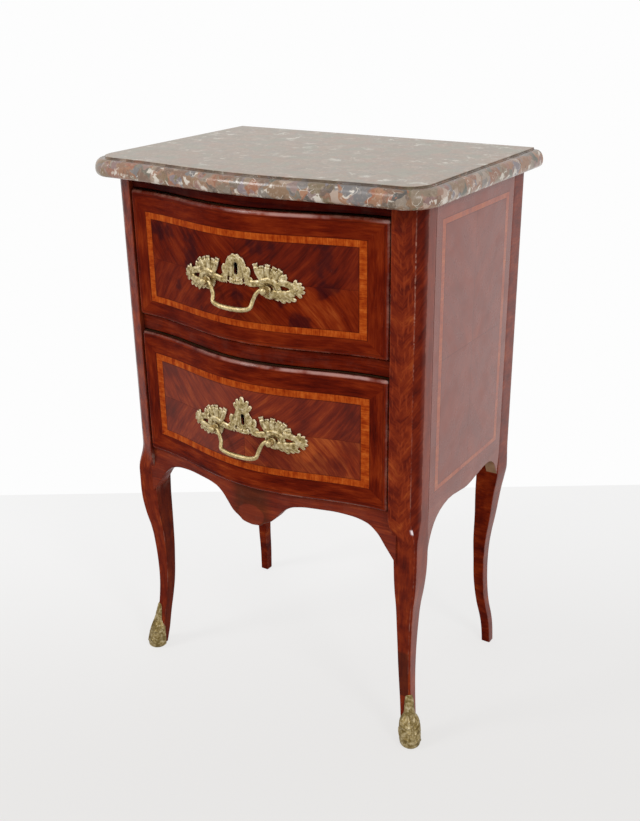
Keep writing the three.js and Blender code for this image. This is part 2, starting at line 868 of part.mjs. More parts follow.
function bailPost(drawer) {
  const z = drawer.keyHeight - postDrop;
  const headBack = postSeat - seatGap;
  const tail = bowAt(postAcross, frontThickness) + nutThickness + 2 * seatGap;
  const head = rodAlongY(postHeadRadius, headBack - postHeadLength, headBack, postAcross, z);
  const shank = rodAlongY(postShankRadius, headBack - seatGap, tail, postAcross, z);
  const blind = postAcross + pinRadius + seatGap;
  const bore = new THREE.CylinderGeometry(pinRadius + seatGap, pinRadius + seatGap, blind, roundSides);
  bore.rotateZ(Math.PI / 2).translate(blind / 2, pivotPlane, z);
  return cut(join(head, shank), bore);
}

function postNut(drawer) {
  const z = drawer.keyHeight - postDrop;
  const inner = bowAt(postAcross + nutRadius, frontThickness) + seatGap;
  const nut = rodAlongY(nutRadius, inner, inner + nutThickness, postAcross, z);
  return cut(nut, rodAlongY(postShankRadius + seatGap, inner - cutOverrun, 0, postAcross, z));
}

// Bail: pins at both ends, limbs that lean in and swell forward, and a bowed grip.
// Rows: in from the pin towards the foot (or from the middle out to it), forward, and down
const bailLimbShares = [
  [0, 0, 0],
  [0.42, 0.25, 0.17],
  [0.8, 0.5, 0.5],
  [1, 1, 0.8],
];
const bailGripShares = [
  [0.67, 1, 0.95],
  [0, 1, 1],
];
const bailInside = postAcross - postHeadRadius - pinRadius;

function bailPath(drawer) {
  const foot = bailFootWidth / 2;
  const z = drawer.keyHeight - postDrop;
  const pinEnds = [[postAcross, 0, 0], [bailInside + pinRadius, 0, 0]];
  const leanIn = foot - bailInside;
  const limb = bailLimbShares.map(([inwards, ...drop]) => [bailInside + leanIn * inwards, ...drop]);
  const grip = bailGripShares.map(([across, ...drop]) => [foot * across, ...drop]);
  const right = [...pinEnds, ...limb, ...grip].map(
    ([x, forward, down]) => new THREE.Vector3(x, pivotPlane - forward * bailBulge, z - down * bailDrop),
  );
  const left = right.slice(0, -1).map((point) => new THREE.Vector3(-point.x, point.y, point.z));
  return new THREE.CatmullRomCurve3([...left, ...right.reverse()], false, "centripetal");
}

function bail(drawer) {
  const path = bailPath(drawer);
  const frames = path.computeFrenetFrames(bailSteps, false);
  const rings = frames.tangents.map((_, step) => {
    const centre = path.getPointAt(step / bailSteps);
    const inLimb = Math.max(0, 1 - Math.abs(centre.x) / bailInside);
    const radius = pinRadius + (bailRadius - pinRadius) * Math.sqrt(inLimb);
    const ring = [];
    for (let side = 0; side < bailSides; side += 1) {
      const turn = (side / bailSides) * 2 * Math.PI;
      const point = centre.clone();
      point.addScaledVector(frames.normals[step], radius * Math.cos(turn));
      point.addScaledVector(frames.binormals[step], radius * Math.sin(turn));
      ring.push(point);
    }
    return ring;
  });
  return loft(rings);
}

// Assembly
const model = new THREE.Group();
const commode = new THREE.Group();
model.add(commode);

function addPiece(name, geometry, finish) {
  const material = new THREE.MeshStandardMaterial(finishes[finish]);
  const mesh = new THREE.Mesh(geometry, material);
  mesh.name = name;
  commode.add(mesh);
}

function addPair(name, geometry, finish) {
  addPiece(`${name}_right`, geometry, finish);
  addPiece(`${name}_left`, mirrored(geometry), finish);
}

function buildCarcass() {
  addPiece("marble_top", marbleTop(), "marble");
  addPair("front_leg", frontLeg(0), "veneer");
  addPair("rear_leg", rearLeg(0), "veneer");
  addPair("side_panel", sidePanel(), "veneer");
  addPiece("top_rail_front", frontRail(upperTop, caseTop - seatGap), "veneerDark");
  addPiece("drawer_rail", frontRail(lowerTop, upperFloor), "veneerDark");
  addPiece("front_apron", frontApron(), "veneer");
  addPiece("top_rail_back", rearRail(), "oak");
  addPiece("back_panel", backPanel(), "oak");
  addPiece("back_rail_bottom", backBottomRail(), "oak");
  addPiece("bottom_board", bottomBoard(), "oak");
  addPair("top_kicker", kicker(), "oak");
  addPair("shoe", shoe(), "bronze");
}

function buildDrawer(drawer) {
  const { name } = drawer;
  addPair(`${name}_runner`, runner(drawer.floor, drawer.runnerThickness), "oak");
  addPiece(`${name}_drawer_front`, drawerFront(drawer), "veneer");
  addPair(`${name}_drawer_side`, drawerSide(drawer), "oak");
  addPiece(`${name}_drawer_back`, drawerBack(drawer), "oak");
  addPiece(`${name}_drawer_bottom`, drawerBottom(drawer), "oak");
  addPiece(`${name}_mount`, mountCasting(drawer), "bronze");
  addPair(`${name}_bail_post`, bailPost(drawer), "bronze");
  addPair(`${name}_post_nut`, postNut(drawer), "bronze");
  addPiece(`${name}_bail`, bail(drawer), "bronze");
  addPiece(`${name}_lock_case`, lockCase(drawer), "iron");
  addPiece(`${name}_lock_bolt`, lockBolt(drawer), "iron");
}

// The sizes of a drawer that follow from its opening
function fitted(drawer) {
  const frontLow = drawer.floor + drawerPlay;
  const frontHigh = drawer.top - drawerPlay;
  const sideHigh = drawer.top - drawerSideTopPlay;
  const keyHeight = frontHigh - drawer.keyDrop;
  return { ...drawer, frontLow, frontHigh, sideHigh, keyHeight };
}

const upperDrawer = fitted({
  name: "upper",
  floor: upperFloor,
  top: upperTop,
  keyDrop: upperKeyDrop,
  runnerThickness: midRailHeight,
  hasFinial: false,
});
const lowerDrawer = fitted({
  name: "lower",
  floor: lowerFloor,
  top: lowerTop,
  keyDrop: lowerKeyDrop,
  runnerThickness: lowerRunnerThickness,
  hasFinial: true,
});

buildCarcass();
buildDrawer(upperDrawer);
buildDrawer(lowerDrawer);

// The origin lies on the floor, under the middle of the whole piece
const extent = new THREE.Box3().setFromObject(commode);
commode.position.y = -(extent.min.y + extent.max.y) / 2;

export default model;
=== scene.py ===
"""The looks of a petite serpentine commode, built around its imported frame.

Metres, in the frame's own axes: +X is the right-hand side seen from the front, -Y the front, +Z up.
The marble, the legs, the serpentine boards and the gilt castings are modelled here in full detail.
The flat boards and the ironwork keep their solids and get softened edges and a finish.
"""

import logging
import math
from dataclasses import dataclass
from enum import Enum
from typing import Callable, Iterable, Optional, Sequence, Union

import bmesh
import bpy
import numpy as np
from mathutils import Matrix, Vector


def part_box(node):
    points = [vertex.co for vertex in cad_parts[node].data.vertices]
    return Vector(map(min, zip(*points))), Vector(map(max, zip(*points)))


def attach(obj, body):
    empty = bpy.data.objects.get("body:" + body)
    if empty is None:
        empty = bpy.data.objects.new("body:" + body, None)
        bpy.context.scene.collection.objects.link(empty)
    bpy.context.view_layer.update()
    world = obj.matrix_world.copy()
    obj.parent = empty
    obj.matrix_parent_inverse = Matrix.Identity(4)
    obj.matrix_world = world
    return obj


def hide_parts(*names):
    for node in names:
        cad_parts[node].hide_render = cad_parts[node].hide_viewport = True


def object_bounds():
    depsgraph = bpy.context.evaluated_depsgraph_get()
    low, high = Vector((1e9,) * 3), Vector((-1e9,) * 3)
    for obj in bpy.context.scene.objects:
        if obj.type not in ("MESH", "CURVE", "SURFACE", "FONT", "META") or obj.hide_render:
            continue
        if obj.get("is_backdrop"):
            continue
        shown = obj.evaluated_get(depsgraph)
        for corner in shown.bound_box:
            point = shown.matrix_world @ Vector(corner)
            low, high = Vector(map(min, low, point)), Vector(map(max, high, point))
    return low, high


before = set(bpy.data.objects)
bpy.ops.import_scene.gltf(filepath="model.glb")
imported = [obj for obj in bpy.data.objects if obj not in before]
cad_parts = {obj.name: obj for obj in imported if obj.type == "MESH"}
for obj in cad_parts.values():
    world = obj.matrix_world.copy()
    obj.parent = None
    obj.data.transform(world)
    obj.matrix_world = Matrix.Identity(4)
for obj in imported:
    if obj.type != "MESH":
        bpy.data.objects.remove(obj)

log = logging.getLogger("commode")

MM = 0.001
SEAT_GAP = 0.0003
CUT_OVERRUN = 0.02
CREST_REACH = 0.35
CREST_ROUNDS = 2
EASE_ROUNDS = 3
MERGE_REACH = 0.00001
SMOOTH_ANGLE = math.radians(32)
FLAT_ANGLE = math.radians(1)
BEVEL_ANGLE = math.radians(35)
RAIL_SETBACK = 0.007
BORE_SIDES = 28
ROD_SIDES = 20


class Body(Enum):
    """The bodies of the frame that the new pieces ride on."""

    CASE = "case"
    UPPER_DRAWER = "upper_drawer"
    UPPER_BAIL = "upper_bail"
    LOWER_DRAWER = "lower_drawer"
    LOWER_BAIL = "lower_bail"


class Slot(Enum):
    """The record's material slots of the new pieces."""

    MARBLE = "marble"
    VENEER = "veneer"
    GILT_BRONZE = "gilt_bronze"


class Side(Enum):
    """The two sides of the commode; the value is the sign of X there."""

    RIGHT = 1
    LEFT = -1

    @property
    def word(self) -> str:
        """The side's name as the nodes write it."""
        return self.name.lower()


class Plane(Enum):
    """The face that a framed veneer lies on, named by where it looks."""

    FRONT = "front"
    SIDE = "side"


def linear(red: float, green: float, blue: float) -> tuple[float, float, float, float]:
    """Turns a colour as a screen shows it, 0 to 255, into the renderer's scale.

    Args:
        red: Red share of the screen colour.
        green: Green share of the screen colour.
        blue: Blue share of the screen colour.

    Returns:
        The linear colour with a full alpha.
    """
    shares = [level / 255 for level in (red, green, blue)]
    lifted = [share / 12.92 if share <= 0.04045 else ((share + 0.055) / 1.055) ** 2.4 for share in shares]
    return (*lifted, 1.0)


def stops(*rows: tuple[float, float, float, float]) -> tuple[tuple[float, tuple], ...]:
    """The stops of a colour ramp, each written as its place and its screen colour."""
    return tuple((place, linear(*screen)) for place, *screen in rows)


# Node trees


def operator(name: str, is_swapped: bool = False) -> Callable[["Value", "Number"], "Value"]:
    """Makes the method behind a sign, such as plus.

    Args:
        name: The Math node's operation.
        is_swapped: Whether the value stands behind the sign.

    Returns:
        The method.
    """

    def method(self: "Value", other: "Number") -> "Value":
        """Adds the node for this value and another."""
        operands = (other, self) if is_swapped else (self, other)
        return self.graph.maths(name, *operands)

    return method


class Value:
    """A socket of a node tree that can be used in a sum."""

    def __init__(self, graph: "Graph", socket: bpy.types.NodeSocket) -> None:
        """Keeps the tree and the socket."""
        self.graph = graph
        self.socket = socket

    __add__ = operator("ADD")
    __radd__ = operator("ADD", True)
    __sub__ = operator("SUBTRACT")
    __rsub__ = operator("SUBTRACT", True)
    __mul__ = operator("MULTIPLY")
    __rmul__ = operator("MULTIPLY", True)
    __truediv__ = operator("DIVIDE")

    def __abs__(self) -> "Value":
        """Drops the sign."""
        return self.graph.maths("ABSOLUTE", self)


Number = Union[float, Value]
Vertex = tuple[float, float, float]


class Graph:
    """A node tree, for a finish or for a shape, written as expressions."""

    def __init__(self, tree: bpy.types.NodeTree) -> None:
        """Keeps the tree and its group inputs."""
        self.tree = tree
        self.inputs: dict[str, Value] = {}

    @classmethod
    def of_shape(cls, name: str, inputs: dict[str, str]) -> "Graph":
        """Starts a geometry tree with named inputs.

        Args:
            name: The tree's name.
            inputs: The socket kind of each input, by its name.

        Returns:
            The started graph, with its inputs as values.
        """
        tree = bpy.data.node_groups.new(name, "GeometryNodeTree")
        tree.interface.new_socket("Geometry", in_out="INPUT", socket_type="NodeSocketGeometry")
        for label, kind in inputs.items():
            tree.interface.new_socket(label, in_out="INPUT", socket_type=kind)
        tree.interface.new_socket("Geometry", in_out="OUTPUT", socket_type="NodeSocketGeometry")
        graph = cls(tree)
        entry = tree.nodes.new("NodeGroupInput")
        graph.inputs = {label: Value(graph, entry.outputs[label]) for label in ["Geometry", *inputs]}
        return graph

    def close_shape(self, geometry: Value) -> bpy.types.NodeTree:
        """Realizes the instances, sets the material and ends the geometry tree.

        Args:
            geometry: What the tree has made.

        Returns:
            The finished tree.
        """
        plain = self.node("GeometryNodeRealizeInstances", sockets={"Geometry": geometry})
        sockets = {"Geometry": plain, "Material": self.inputs["Material"]}
        dressed = self.node("GeometryNodeSetMaterial", sockets=sockets)
        exit_node = self.tree.nodes.new("NodeGroupOutput")
        self.tree.links.new(dressed.socket, exit_node.inputs["Geometry"])
        return self.tree

    def node(
        self,
        kind: str,
        settings: Optional[dict[str, object]] = None,
        sockets: Optional[dict[Union[str, int], object]] = None,
        output: Union[str, int] = 0,
    ) -> Value:
        """Adds a node: its settings first, then its sockets.

        Args:
            kind: The node's type.
            settings: Properties of the node; "stops" holds a ramp's places and colours.
            sockets: Values or links, by identifier, name or place of the socket.
            output: The output to give back.

        Returns:
            The chosen output.
        """
        made = self.tree.nodes.new(kind)
        for label, setting in (settings or {}).items():
            if label == "stops":
                self._set_stops(made.color_ramp, setting)
            else:
                setattr(made, label, setting)
        by_identifier = {socket.identifier: socket for socket in made.inputs}
        for key, value in (sockets or {}).items():
            target = by_identifier[key] if key in by_identifier else made.inputs[key]
            if isinstance(value, Value):
                self.tree.links.new(value.socket, target)
            else:
                target.default_value = value
        outlets = {socket.identifier: socket for socket in made.outputs}
        if not outlets:
            return Value(self, None)
        return Value(self, outlets[output] if output in outlets else made.outputs[output])

    @staticmethod
    def _set_stops(ramp: bpy.types.ColorRamp, stops: Sequence[tuple[float, tuple]]) -> None:
        """Writes a ramp's stops, the first two over the ones that it starts with.

        Args:
            ramp: The ramp.
            stops: Places and colours, in rising order.
        """
        for at, (place, colour) in enumerate(stops):
            stop = ramp.elements[at] if at < 2 else ramp.elements.new(place)
            stop.position = place
            stop.color = colour

    def maths(self, operation: str, *values: Number, clamp: bool = False) -> Value:
        """Adds one Math node."""
        settings = {"operation": operation, "use_clamp": clamp}
        return self.node("ShaderNodeMath", settings, dict(enumerate(values)))

    def least(self, one: Number, other: Number) -> Value:
        """The smaller of two values."""
        return self.maths("MINIMUM", one, other)

    def most(self, one: Number, other: Number) -> Value:
        """The larger of two values."""
        return self.maths("MAXIMUM", one, other)

    def over(self, value: Number, limit: Number) -> Value:
        """1 where the value is over the limit, else 0."""
        return self.maths("GREATER_THAN", value, limit)

    def rise(self, value: Number, low: float, high: float) -> Value:
        """Eases from 0 at the low value to 1 at the high one."""
        sockets = {"Value": value, "From Min": low, "From Max": high}
        return self.node("ShaderNodeMapRange", {"interpolation_type": "SMOOTHSTEP"}, sockets)

    def blend(self, share: Number, one: Number, other: Number) -> Value:
        """A number between two others."""
        sockets = {"Factor_Float": share, "A_Float": one, "B_Float": other}
        return self.node("ShaderNodeMix", {"data_type": "FLOAT"}, sockets, "Result_Float")

    def tint(self, share: Number, one: object, other: object) -> Value:
        """A colour between two others, the first where the share is 0 and the second where it is 1."""
        sockets = {"Factor_Float": share, "A_Color": one, "B_Color": other}
        return self.node("ShaderNodeMix", {"data_type": "RGBA"}, sockets, "Result_Color")

    def coats(self, colour: Value, *layers: tuple[Number, tuple[float, float, float]]) -> Value:
        """Lays colours over one another.

        Args:
            colour: What lies under them.
            layers: The share and the screen colour of each.

        Returns:
            The colour on top.
        """
        for share, screen in layers:
            colour = self.tint(share, colour, linear(*screen))
        return colour

    def ramp(self, value: Number, stops: Sequence[tuple[float, tuple]]) -> Value:
        """A colour read from a ramp."""
        return self.node("ShaderNodeValToRGB", {"stops": stops}, {0: value})

    def vector(self, x: Number, y: Number, z: Number) -> Value:
        """A vector of three values."""
        return self.node("ShaderNodeCombineXYZ", sockets={0: x, 1: y, 2: z})

    def axes(self, vector: Value) -> tuple[Value, Value, Value]:
        """The three values of a vector.

        Args:
            vector: The vector.

        Returns:
            Its X, Y and Z.
        """
        parts = self.tree.nodes.new("ShaderNodeSeparateXYZ")
        self.tree.links.new(vector.socket, parts.inputs[0])
        return tuple(Value(self, socket) for socket in parts.outputs)

    def place(self) -> Value:
        """The place on the piece, in millimetres."""
        here = self.node("ShaderNodeTexCoord", output="Object")
        return self.scaled(here, 1 / MM)

    def scaled(self, vector: Value, factor: float) -> Value:
        """A vector times a number."""
        return self.node("ShaderNodeVectorMath", {"operation": "SCALE"}, {0: vector, "Scale": factor})

    def shifted(self, vector: Value, step: Union[Value, Vertex]) -> Value:
        """A vector moved by another."""
        return self.node("ShaderNodeVectorMath", {"operation": "ADD"}, {0: vector, 1: step})

    def noise(self, vector: Value, scale: float, detail: float = 2.0, rough: float = 0.5) -> Value:
        """Cloudy noise around one half."""
        sockets = {"Vector": vector, "Scale": scale, "Detail": detail, "Roughness": rough}
        return self.node("ShaderNodeTexNoise", sockets=sockets)

    def patches(self, vector: Value, look: tuple[float, ...], low: float, high: float) -> Value:
        """Soft patches of noise."""
        return self.rise(self.noise(vector, *look), low, high)

    def attribute(self, name: str) -> Value:
        """A number that the mesh carries, in a finish."""
        settings = {"attribute_type": "GEOMETRY", "attribute_name": name}
        return self.node("ShaderNodeAttribute", settings, output="Fac")

    def carried(self, name: str) -> Value:
        """A number that the mesh carries, in a shape's tree."""
        kind = "GeometryNodeInputNamedAttribute"
        return self.node(kind, {"data_type": "FLOAT"}, {"Name": name})


# Finishes


@dataclass(frozen=True)
class Look:
    """What a finish draws: its colour, and its relief, dullness and coat, each from 0 to 1."""

    colour: Value
    height: Value
    dullness: Value
    coat: Optional[Value] = None


@dataclass(frozen=True)
class Finish:
    """What every finish shares: a name, its gloss and how deep its relief is."""

    name: str
    gloss_roughness: float = 0.3
    roughness_swing: float = 0.12
    coat: float = 0.0
    coat_roughness: float = 0.2
    metallic: float = 0.0
    specular: float = 0.5
    relief: float = 0.0002

    def material(self) -> bpy.types.Material:
        """Builds the material at its first use and gives it back after that.

        Returns:
            The finish's material.
        """
        made = bpy.data.materials.get(self.name)
        if made is not None:
            return made
        made = bpy.data.materials.new(self.name)
        made.use_nodes = True
        made.node_tree.nodes.clear()
        graph = Graph(made.node_tree)
        look = self.paint(graph)
        swing = look.dullness * self.roughness_swing
        roughness = graph.maths("ADD", swing, self.gloss_roughness, clamp=True)
        bump = graph.node("ShaderNodeBump", sockets={"Distance": self.relief, "Height": look.height})
        sockets = {
            "Base Color": look.colour,
            "Roughness": roughness,
            "Normal": bump,
            "Metallic": self.metallic,
            "Specular IOR Level": self.specular,
            "Coat Weight": self.coat if look.coat is None else look.coat,
            "Coat Roughness": self.coat_roughness,
        }
        shader = graph.node("ShaderNodeBsdfPrincipled", sockets=sockets)
        graph.node("ShaderNodeOutputMaterial", sockets={"Surface": shader})
        return made

    def paint(self, graph: Graph) -> Look:
        """Draws the surface."""
        raise NotImplementedError


ROSEWOOD_STOPS = stops(
    (0.16, 38, 6, 9),
    (0.34, 70, 13, 6),
    (0.48, 100, 25, 8),
    (0.62, 128, 43, 14),
    (0.82, 172, 82, 34),
)
TULIPWOOD_STOPS = stops(
    (0.22, 112, 28, 6),
    (0.40, 148, 52, 12),
    (0.56, 176, 76, 22),
    (0.72, 196, 100, 38),
    (0.90, 220, 148, 78),
)
OAK_STOPS = stops((0.25, 96, 66, 40), (0.50, 138, 100, 64), (0.75, 172, 132, 92))
MARBLE_GROUND_STOPS = stops(
    (0.0, 124, 112, 88),
    (0.3, 168, 120, 92),
    (0.5, 110, 96, 84),
    (0.7, 150, 132, 112),
    (1.0, 122, 120, 122),
)
MARBLE_PIECE_STOPS = stops(
    (0.0, 92, 88, 84),
    (0.2, 172, 126, 96),
    (0.4, 134, 128, 134),
    (0.55, 164, 108, 80),
    (0.72, 100, 100, 88),
    (0.86, 192, 168, 152),
    (1.0, 140, 120, 96),
)
MARBLE_DUST_AND_SHEEN_STOPS = stops((0.35, 146, 130, 110), (0.55, 160, 142, 122), (0.7, 178, 163, 143))
GILT_STOPS = stops((0.36, 112, 92, 50), (0.5, 182, 162, 114), (0.64, 226, 212, 176))
# Dark line colour: the band's stringing, and painted shade in the drawers' quirk.
INK_AND_SHADE_LINE = (44, 12, 10)
BARE_BROWN = (58, 30, 24)
DULL_BRASS = (112, 94, 52)
# Pale tint of old varnish's haze, also painted sheen where a face would reflect the bright room.
HAZE_AND_SHEEN = linear(178, 122, 112)
WORN = (176, 128, 112)
DEEP = linear(40, 9, 16)


@dataclass(frozen=True)
class Oak(Finish):
    """Old oak, with its grain along the board."""

    along: int = 0
    gloss_roughness: float = 0.62

    def paint(self, graph: Graph) -> Look:
        """Draws long pores and flecks along the board."""
        return oak_grain(graph, graph.axes(graph.place()), self.along)


def oak_grain(graph: Graph, here: Sequence[Value], along: int) -> Look:
    """Draws oak, for boards and for the backs of veneered pieces.

    Args:
        graph: The material's tree.
        here: The place on the piece in millimetres.
        along: The axis that the grain follows, 0 to 2.

    Returns:
        The oak's look.
    """
    board = [axis * (0.012 if at == along else 0.11) for at, axis in enumerate(here)]
    pores = [axis * (0.05 if at == along else 1.3) for at, axis in enumerate(here)]
    broad = graph.noise(graph.vector(*board), 1.0, 4.0, 0.6)
    fine = graph.noise(graph.vector(*pores), 1.0, 3.0, 0.6)
    stain = graph.patches(graph.vector(*[axis * 0.014 for axis in here]), (1.0, 3.0), 0.45, 0.7)
    colour = graph.ramp(broad * 0.65 + fine * 0.35, OAK_STOPS)
    return Look(graph.coats(colour, (stain * 0.35, (70, 46, 28))), fine, broad)


@dataclass(frozen=True)
class Veneer(Finish):
    """Dark rosewood veneer under old varnish."""

    gloss_roughness: float = 0.22
    roughness_swing: float = 0.2
    coat_roughness: float = 0.16
    specular: float = 0.015
    tone: float = 0.0
    contrast: float = 0.6
    haze_and_sheen: float = 0.0
    seed: float = 0.0

    def figure(self, graph: Graph, across: Value, along: Value, seed: Number) -> Value:
        """Streaks of the wood.

        Args:
            graph: The material's tree.
            across: Distance across the grain in millimetres.
            along: Distance along the grain in millimetres.
            seed: Sets one leaf of veneer apart from another.

        Returns:
            A value around one half; low is a dark streak.
        """
        broad = graph.noise(graph.vector(across * 0.055, along * 0.014, seed), 1.0, 3.0, 0.55)
        streak = graph.noise(graph.vector(across * 0.24, along * 0.03, seed), 1.0, 3.0, 0.6)
        hair = graph.noise(graph.vector(across * 1.2, along * 0.09, seed), 1.0, 2.0, 0.5)
        mixed = broad + streak * 0.7 + hair * 0.4 - 1.05
        return mixed * self.contrast + (0.5 + self.tone)

    def wood(self, graph: Graph, figure: Value) -> Value:
        """The colour of the streaks, with the haze of the old varnish and a painted sheen."""
        colour = graph.ramp(figure, ROSEWOOD_STOPS)
        return graph.tint(self.haze_and_sheen, colour, HAZE_AND_SHEEN) if self.haze_and_sheen else colour

    def marks(self, graph: Graph, colour: Value, here: Value, edge: Number) -> Value:
        """Lays dust, scratches and worn edges over the wood.

        Args:
            graph: The material's tree.
            colour: The wood's colour.
            here: The place on the piece in millimetres.
            edge: 1 on a worn edge, 0 away from it.

        Returns:
            The worn colour.
        """
        chips = graph.patches(here, (0.045, 5.0, 0.7), 0.44, 0.66)
        specks = graph.patches(here, (0.5, 2.0, 0.6), 0.68, 0.78)
        return graph.coats(colour, (chips * edge * 0.6, WORN), (specks * 0.2, (150, 96, 80)))

    def surface(self, graph: Graph, here: Value, figure: Value) -> tuple[Value, Value]:
        """The relief of old veneer and the dullness of its varnish.

        Args:
            graph: The material's tree.
            here: The place on the piece in millimetres.
            figure: The wood's figure.

        Returns:
            The relief and the dullness.
        """
        ripple = graph.noise(here, 0.022, 2.0, 0.5)
        height = ripple * 2.6 + figure * 0.16 + graph.noise(here, 0.35, 3.0, 0.6) * 0.2
        return height, graph.patches(here, (0.03, 5.0, 0.65), 0.35, 0.75)


@dataclass(frozen=True)
class Quarters:
    """A value for each of the four leaves of a field, as seen from outside."""

    upper_left: float = 0.0
    upper_right: float = 0.0
    lower_left: float = 0.0
    lower_right: float = 0.0

    def read(self, graph: Graph, above: Value, right: Value) -> Value:
        """The value of the leaf at hand.

        Args:
            graph: The material's tree.
            above: 1 in the upper leaves, 0 in the lower ones.
            right: 1 in the right-hand leaves, 0 in the left-hand ones.

        Returns:
            The leaf's value.
        """
        upper = graph.blend(right, self.upper_left, self.upper_right)
        lower = graph.blend(right, self.lower_left, self.lower_right)
        return graph.blend(above, lower, upper)


@dataclass(frozen=True)
class FramedVeneer(Veneer):
    """A face with quarter-matched veneer inside an orange band and a border.

    Every size is in millimetres. The half sizes go from the middle to the band's inner edge.
    """

    plane: Plane = Plane.FRONT
    middle_across: float = 0.0
    middle_up: float = 0.0
    half_across: float = 153.0
    half_up: float = 50.0
    band_across: float = 9.0
    band_up: float = 8.5
    outer_across: float = 186.0
    outer_up: float = 81.5
    outer_middle_up: float = 0.0
    bead: float = 5.2
    has_bead: bool = True
    band_tone: float = 0.0
    border_tone: float = 0.0
    depth_limit: float = 0.0
    key_up: float = 0.0
    tones: Quarters = Quarters()
    hazes_and_sheen: Quarters = Quarters()
    stain: float = 0.0

    def paint(self, graph: Graph) -> Look:
        """Draws the field, the band, the border and the bead round the edge.

        Args:
            graph: The material's tree.

        Returns:
            The finish's look.
        """
        here = graph.place()
        x, y, z = graph.axes(here)
        face = x if self.plane is Plane.FRONT else y
        aside = face - self.middle_across
        up = z - self.middle_up
        across, height = abs(aside), abs(up)
        past_side = (across - self.half_across) / self.band_across
        past_top = (height - self.half_up) / self.band_up
        upright = graph.over(past_side, past_top)
        past = graph.most(past_side, past_top)
        field = self.field(graph, here, aside, up)
        along = graph.blend(upright, aside, up)
        aside_strip = graph.blend(upright, up, aside)
        border_figure = self.figure(graph, aside_strip, along, self.seed + 3.7)
        leaf = graph.noise(graph.vector(along * 0.02, self.seed, 0.0), 1.0, 1.0)
        border = self.wood(graph, border_figure + (leaf - 0.5) * 0.3 + self.border_tone)
        beyond = graph.over(past, 1.0)
        colour = graph.tint(beyond, field.colour, border)
        colour = graph.coats(colour, (self.stringing(graph, past), INK_AND_SHADE_LINE))
        in_band = graph.rise(past, -0.06, 0.06) * graph.rise(past, 1.06, 0.94)
        colour = graph.tint(in_band, colour, self.band(graph, here, along, aside_strip))
        figure = graph.blend(beyond, field.height, border_figure)
        relief, dullness = self.surface(graph, here, figure)
        to_side = self.outer_across - abs(face - (0.0 if self.has_bead else self.middle_across))
        to_edge = graph.least(to_side, self.outer_up - abs(z - self.outer_middle_up))
        edge = graph.rise(to_edge, self.bead * 0.8, 0.0)
        if self.has_bead:
            # The quirk is cut only in the relief; its dark line is painted shade in the groove.
            quirk = graph.rise(abs(to_edge - self.bead - 0.7), 1.0, 0.3)
            colour = self.marks(graph, graph.coats(colour, (quirk * 0.35, INK_AND_SHADE_LINE)), here, edge)
            # Painted highlight: a pale line on the top rim, where it would catch the light.
            colour = graph.coats(colour, (self.painted_rim_highlight(graph, here), (206, 164, 156)))
            depth = y - BOW.drawn(graph, x)
            behind = graph.over(depth, 6.0)
            colour = graph.tint(behind, colour, oak_grain(graph, (x, y, z), 0).colour)
            # Painted shade: the top of the front just behind its face is darkened, as the gap under the
            # rail lies in shadow.
            painted_gap_shade = graph.rise(depth, 17.0, 13.0) * graph.rise(depth, 2.0, 3.5)
            # Painted shade: the keyhole's walls are darkened to near black.
            painted_keyhole_shade = graph.over(3.8, abs(x)) * graph.over(8.6, abs(z - self.key_up))
            colour = graph.coats(colour, (painted_gap_shade * 0.85, (30, 15, 11)), (painted_keyhole_shade, (16, 9, 7)))
            return Look(colour, relief - quirk * 0.8, dullness, edge * (1.0 - behind) * 0.65)
        colour = self.marks(graph, colour, here, edge * 0.4)
        inner = graph.over(self.depth_limit, abs(x))
        oak = oak_grain(graph, (x, y, z), 2)
        polish = (1.0 - inner) * self.coat
        return Look(graph.tint(inner, colour, oak.colour), relief, graph.most(dullness, inner), polish)

    def painted_rim_highlight(self, graph: Graph, here: Value) -> Value:
        """A painted highlight: a pale line along the top edge, strongest right of the middle.

        Args:
            graph: The material's tree.
            here: The place on the piece in millimetres.

        Returns:
            The line's strength.
        """
        x, _, z = graph.axes(here)
        below = self.outer_middle_up + self.outer_up - z
        line = graph.rise(below, self.bead, self.bead * 0.6) * graph.rise(below, 0.4, 1.6)
        patchy_highlight = graph.patches(here, (0.028, 3.0, 0.6), 0.36, 0.6)
        return line * patchy_highlight * graph.rise(x, -110.0, 50.0) * 0.6

    def field(self, graph: Graph, here: Value, aside: Value, up: Value) -> Look:
        """Four leaves of one wood, mirrored about the middle, with streaks that fan to the corners.

        Args:
            graph: The material's tree.
            here: The place on the piece in millimetres.
            aside: Distance from the middle, with its sign.
            up: Height over the middle, with its sign.

        Returns:
            The field's look, with its figure as the height.
        """
        across, height = abs(aside), abs(up)
        share = across / self.half_across
        fan = 1.7 - share * 1.05 if self.plane is Plane.FRONT else share * 0.3 + 0.42
        ray = across - height * fan
        above = graph.over(up, 0.0)
        right = graph.over(aside, 0.0)
        seed = above * 0.55 + right * 0.25 + self.seed
        leaf = self.tones.read(graph, above, right)
        figure = self.figure(graph, ray, height * 1.4, seed) + leaf
        cloud = graph.noise(graph.shifted(graph.scaled(here, 0.021), (self.seed, 0.0, 0.0)), 1.0, 3.0, 0.55)
        figure = figure + (cloud - 0.5) * 0.32
        colour = self.wood(graph, figure)
        dark = graph.rise(cloud - leaf * 0.5, 0.47, 0.38) * self.stain
        colour = graph.tint(dark, colour, DEEP)
        high, far = graph.rise(up, -14.0, 14.0), graph.rise(aside, -45.0, 45.0)
        # Painted sheen: parts of the field are paler, as if reflecting the room, over the haze of old
        # varnish.
        colour = graph.tint(self.hazes_and_sheen.read(graph, high, far), colour, HAZE_AND_SHEEN)
        joint = graph.rise(graph.least(across, height), 0.55, 0.15)
        return Look(graph.coats(colour, (joint * 0.45, (52, 14, 12))), figure, cloud)

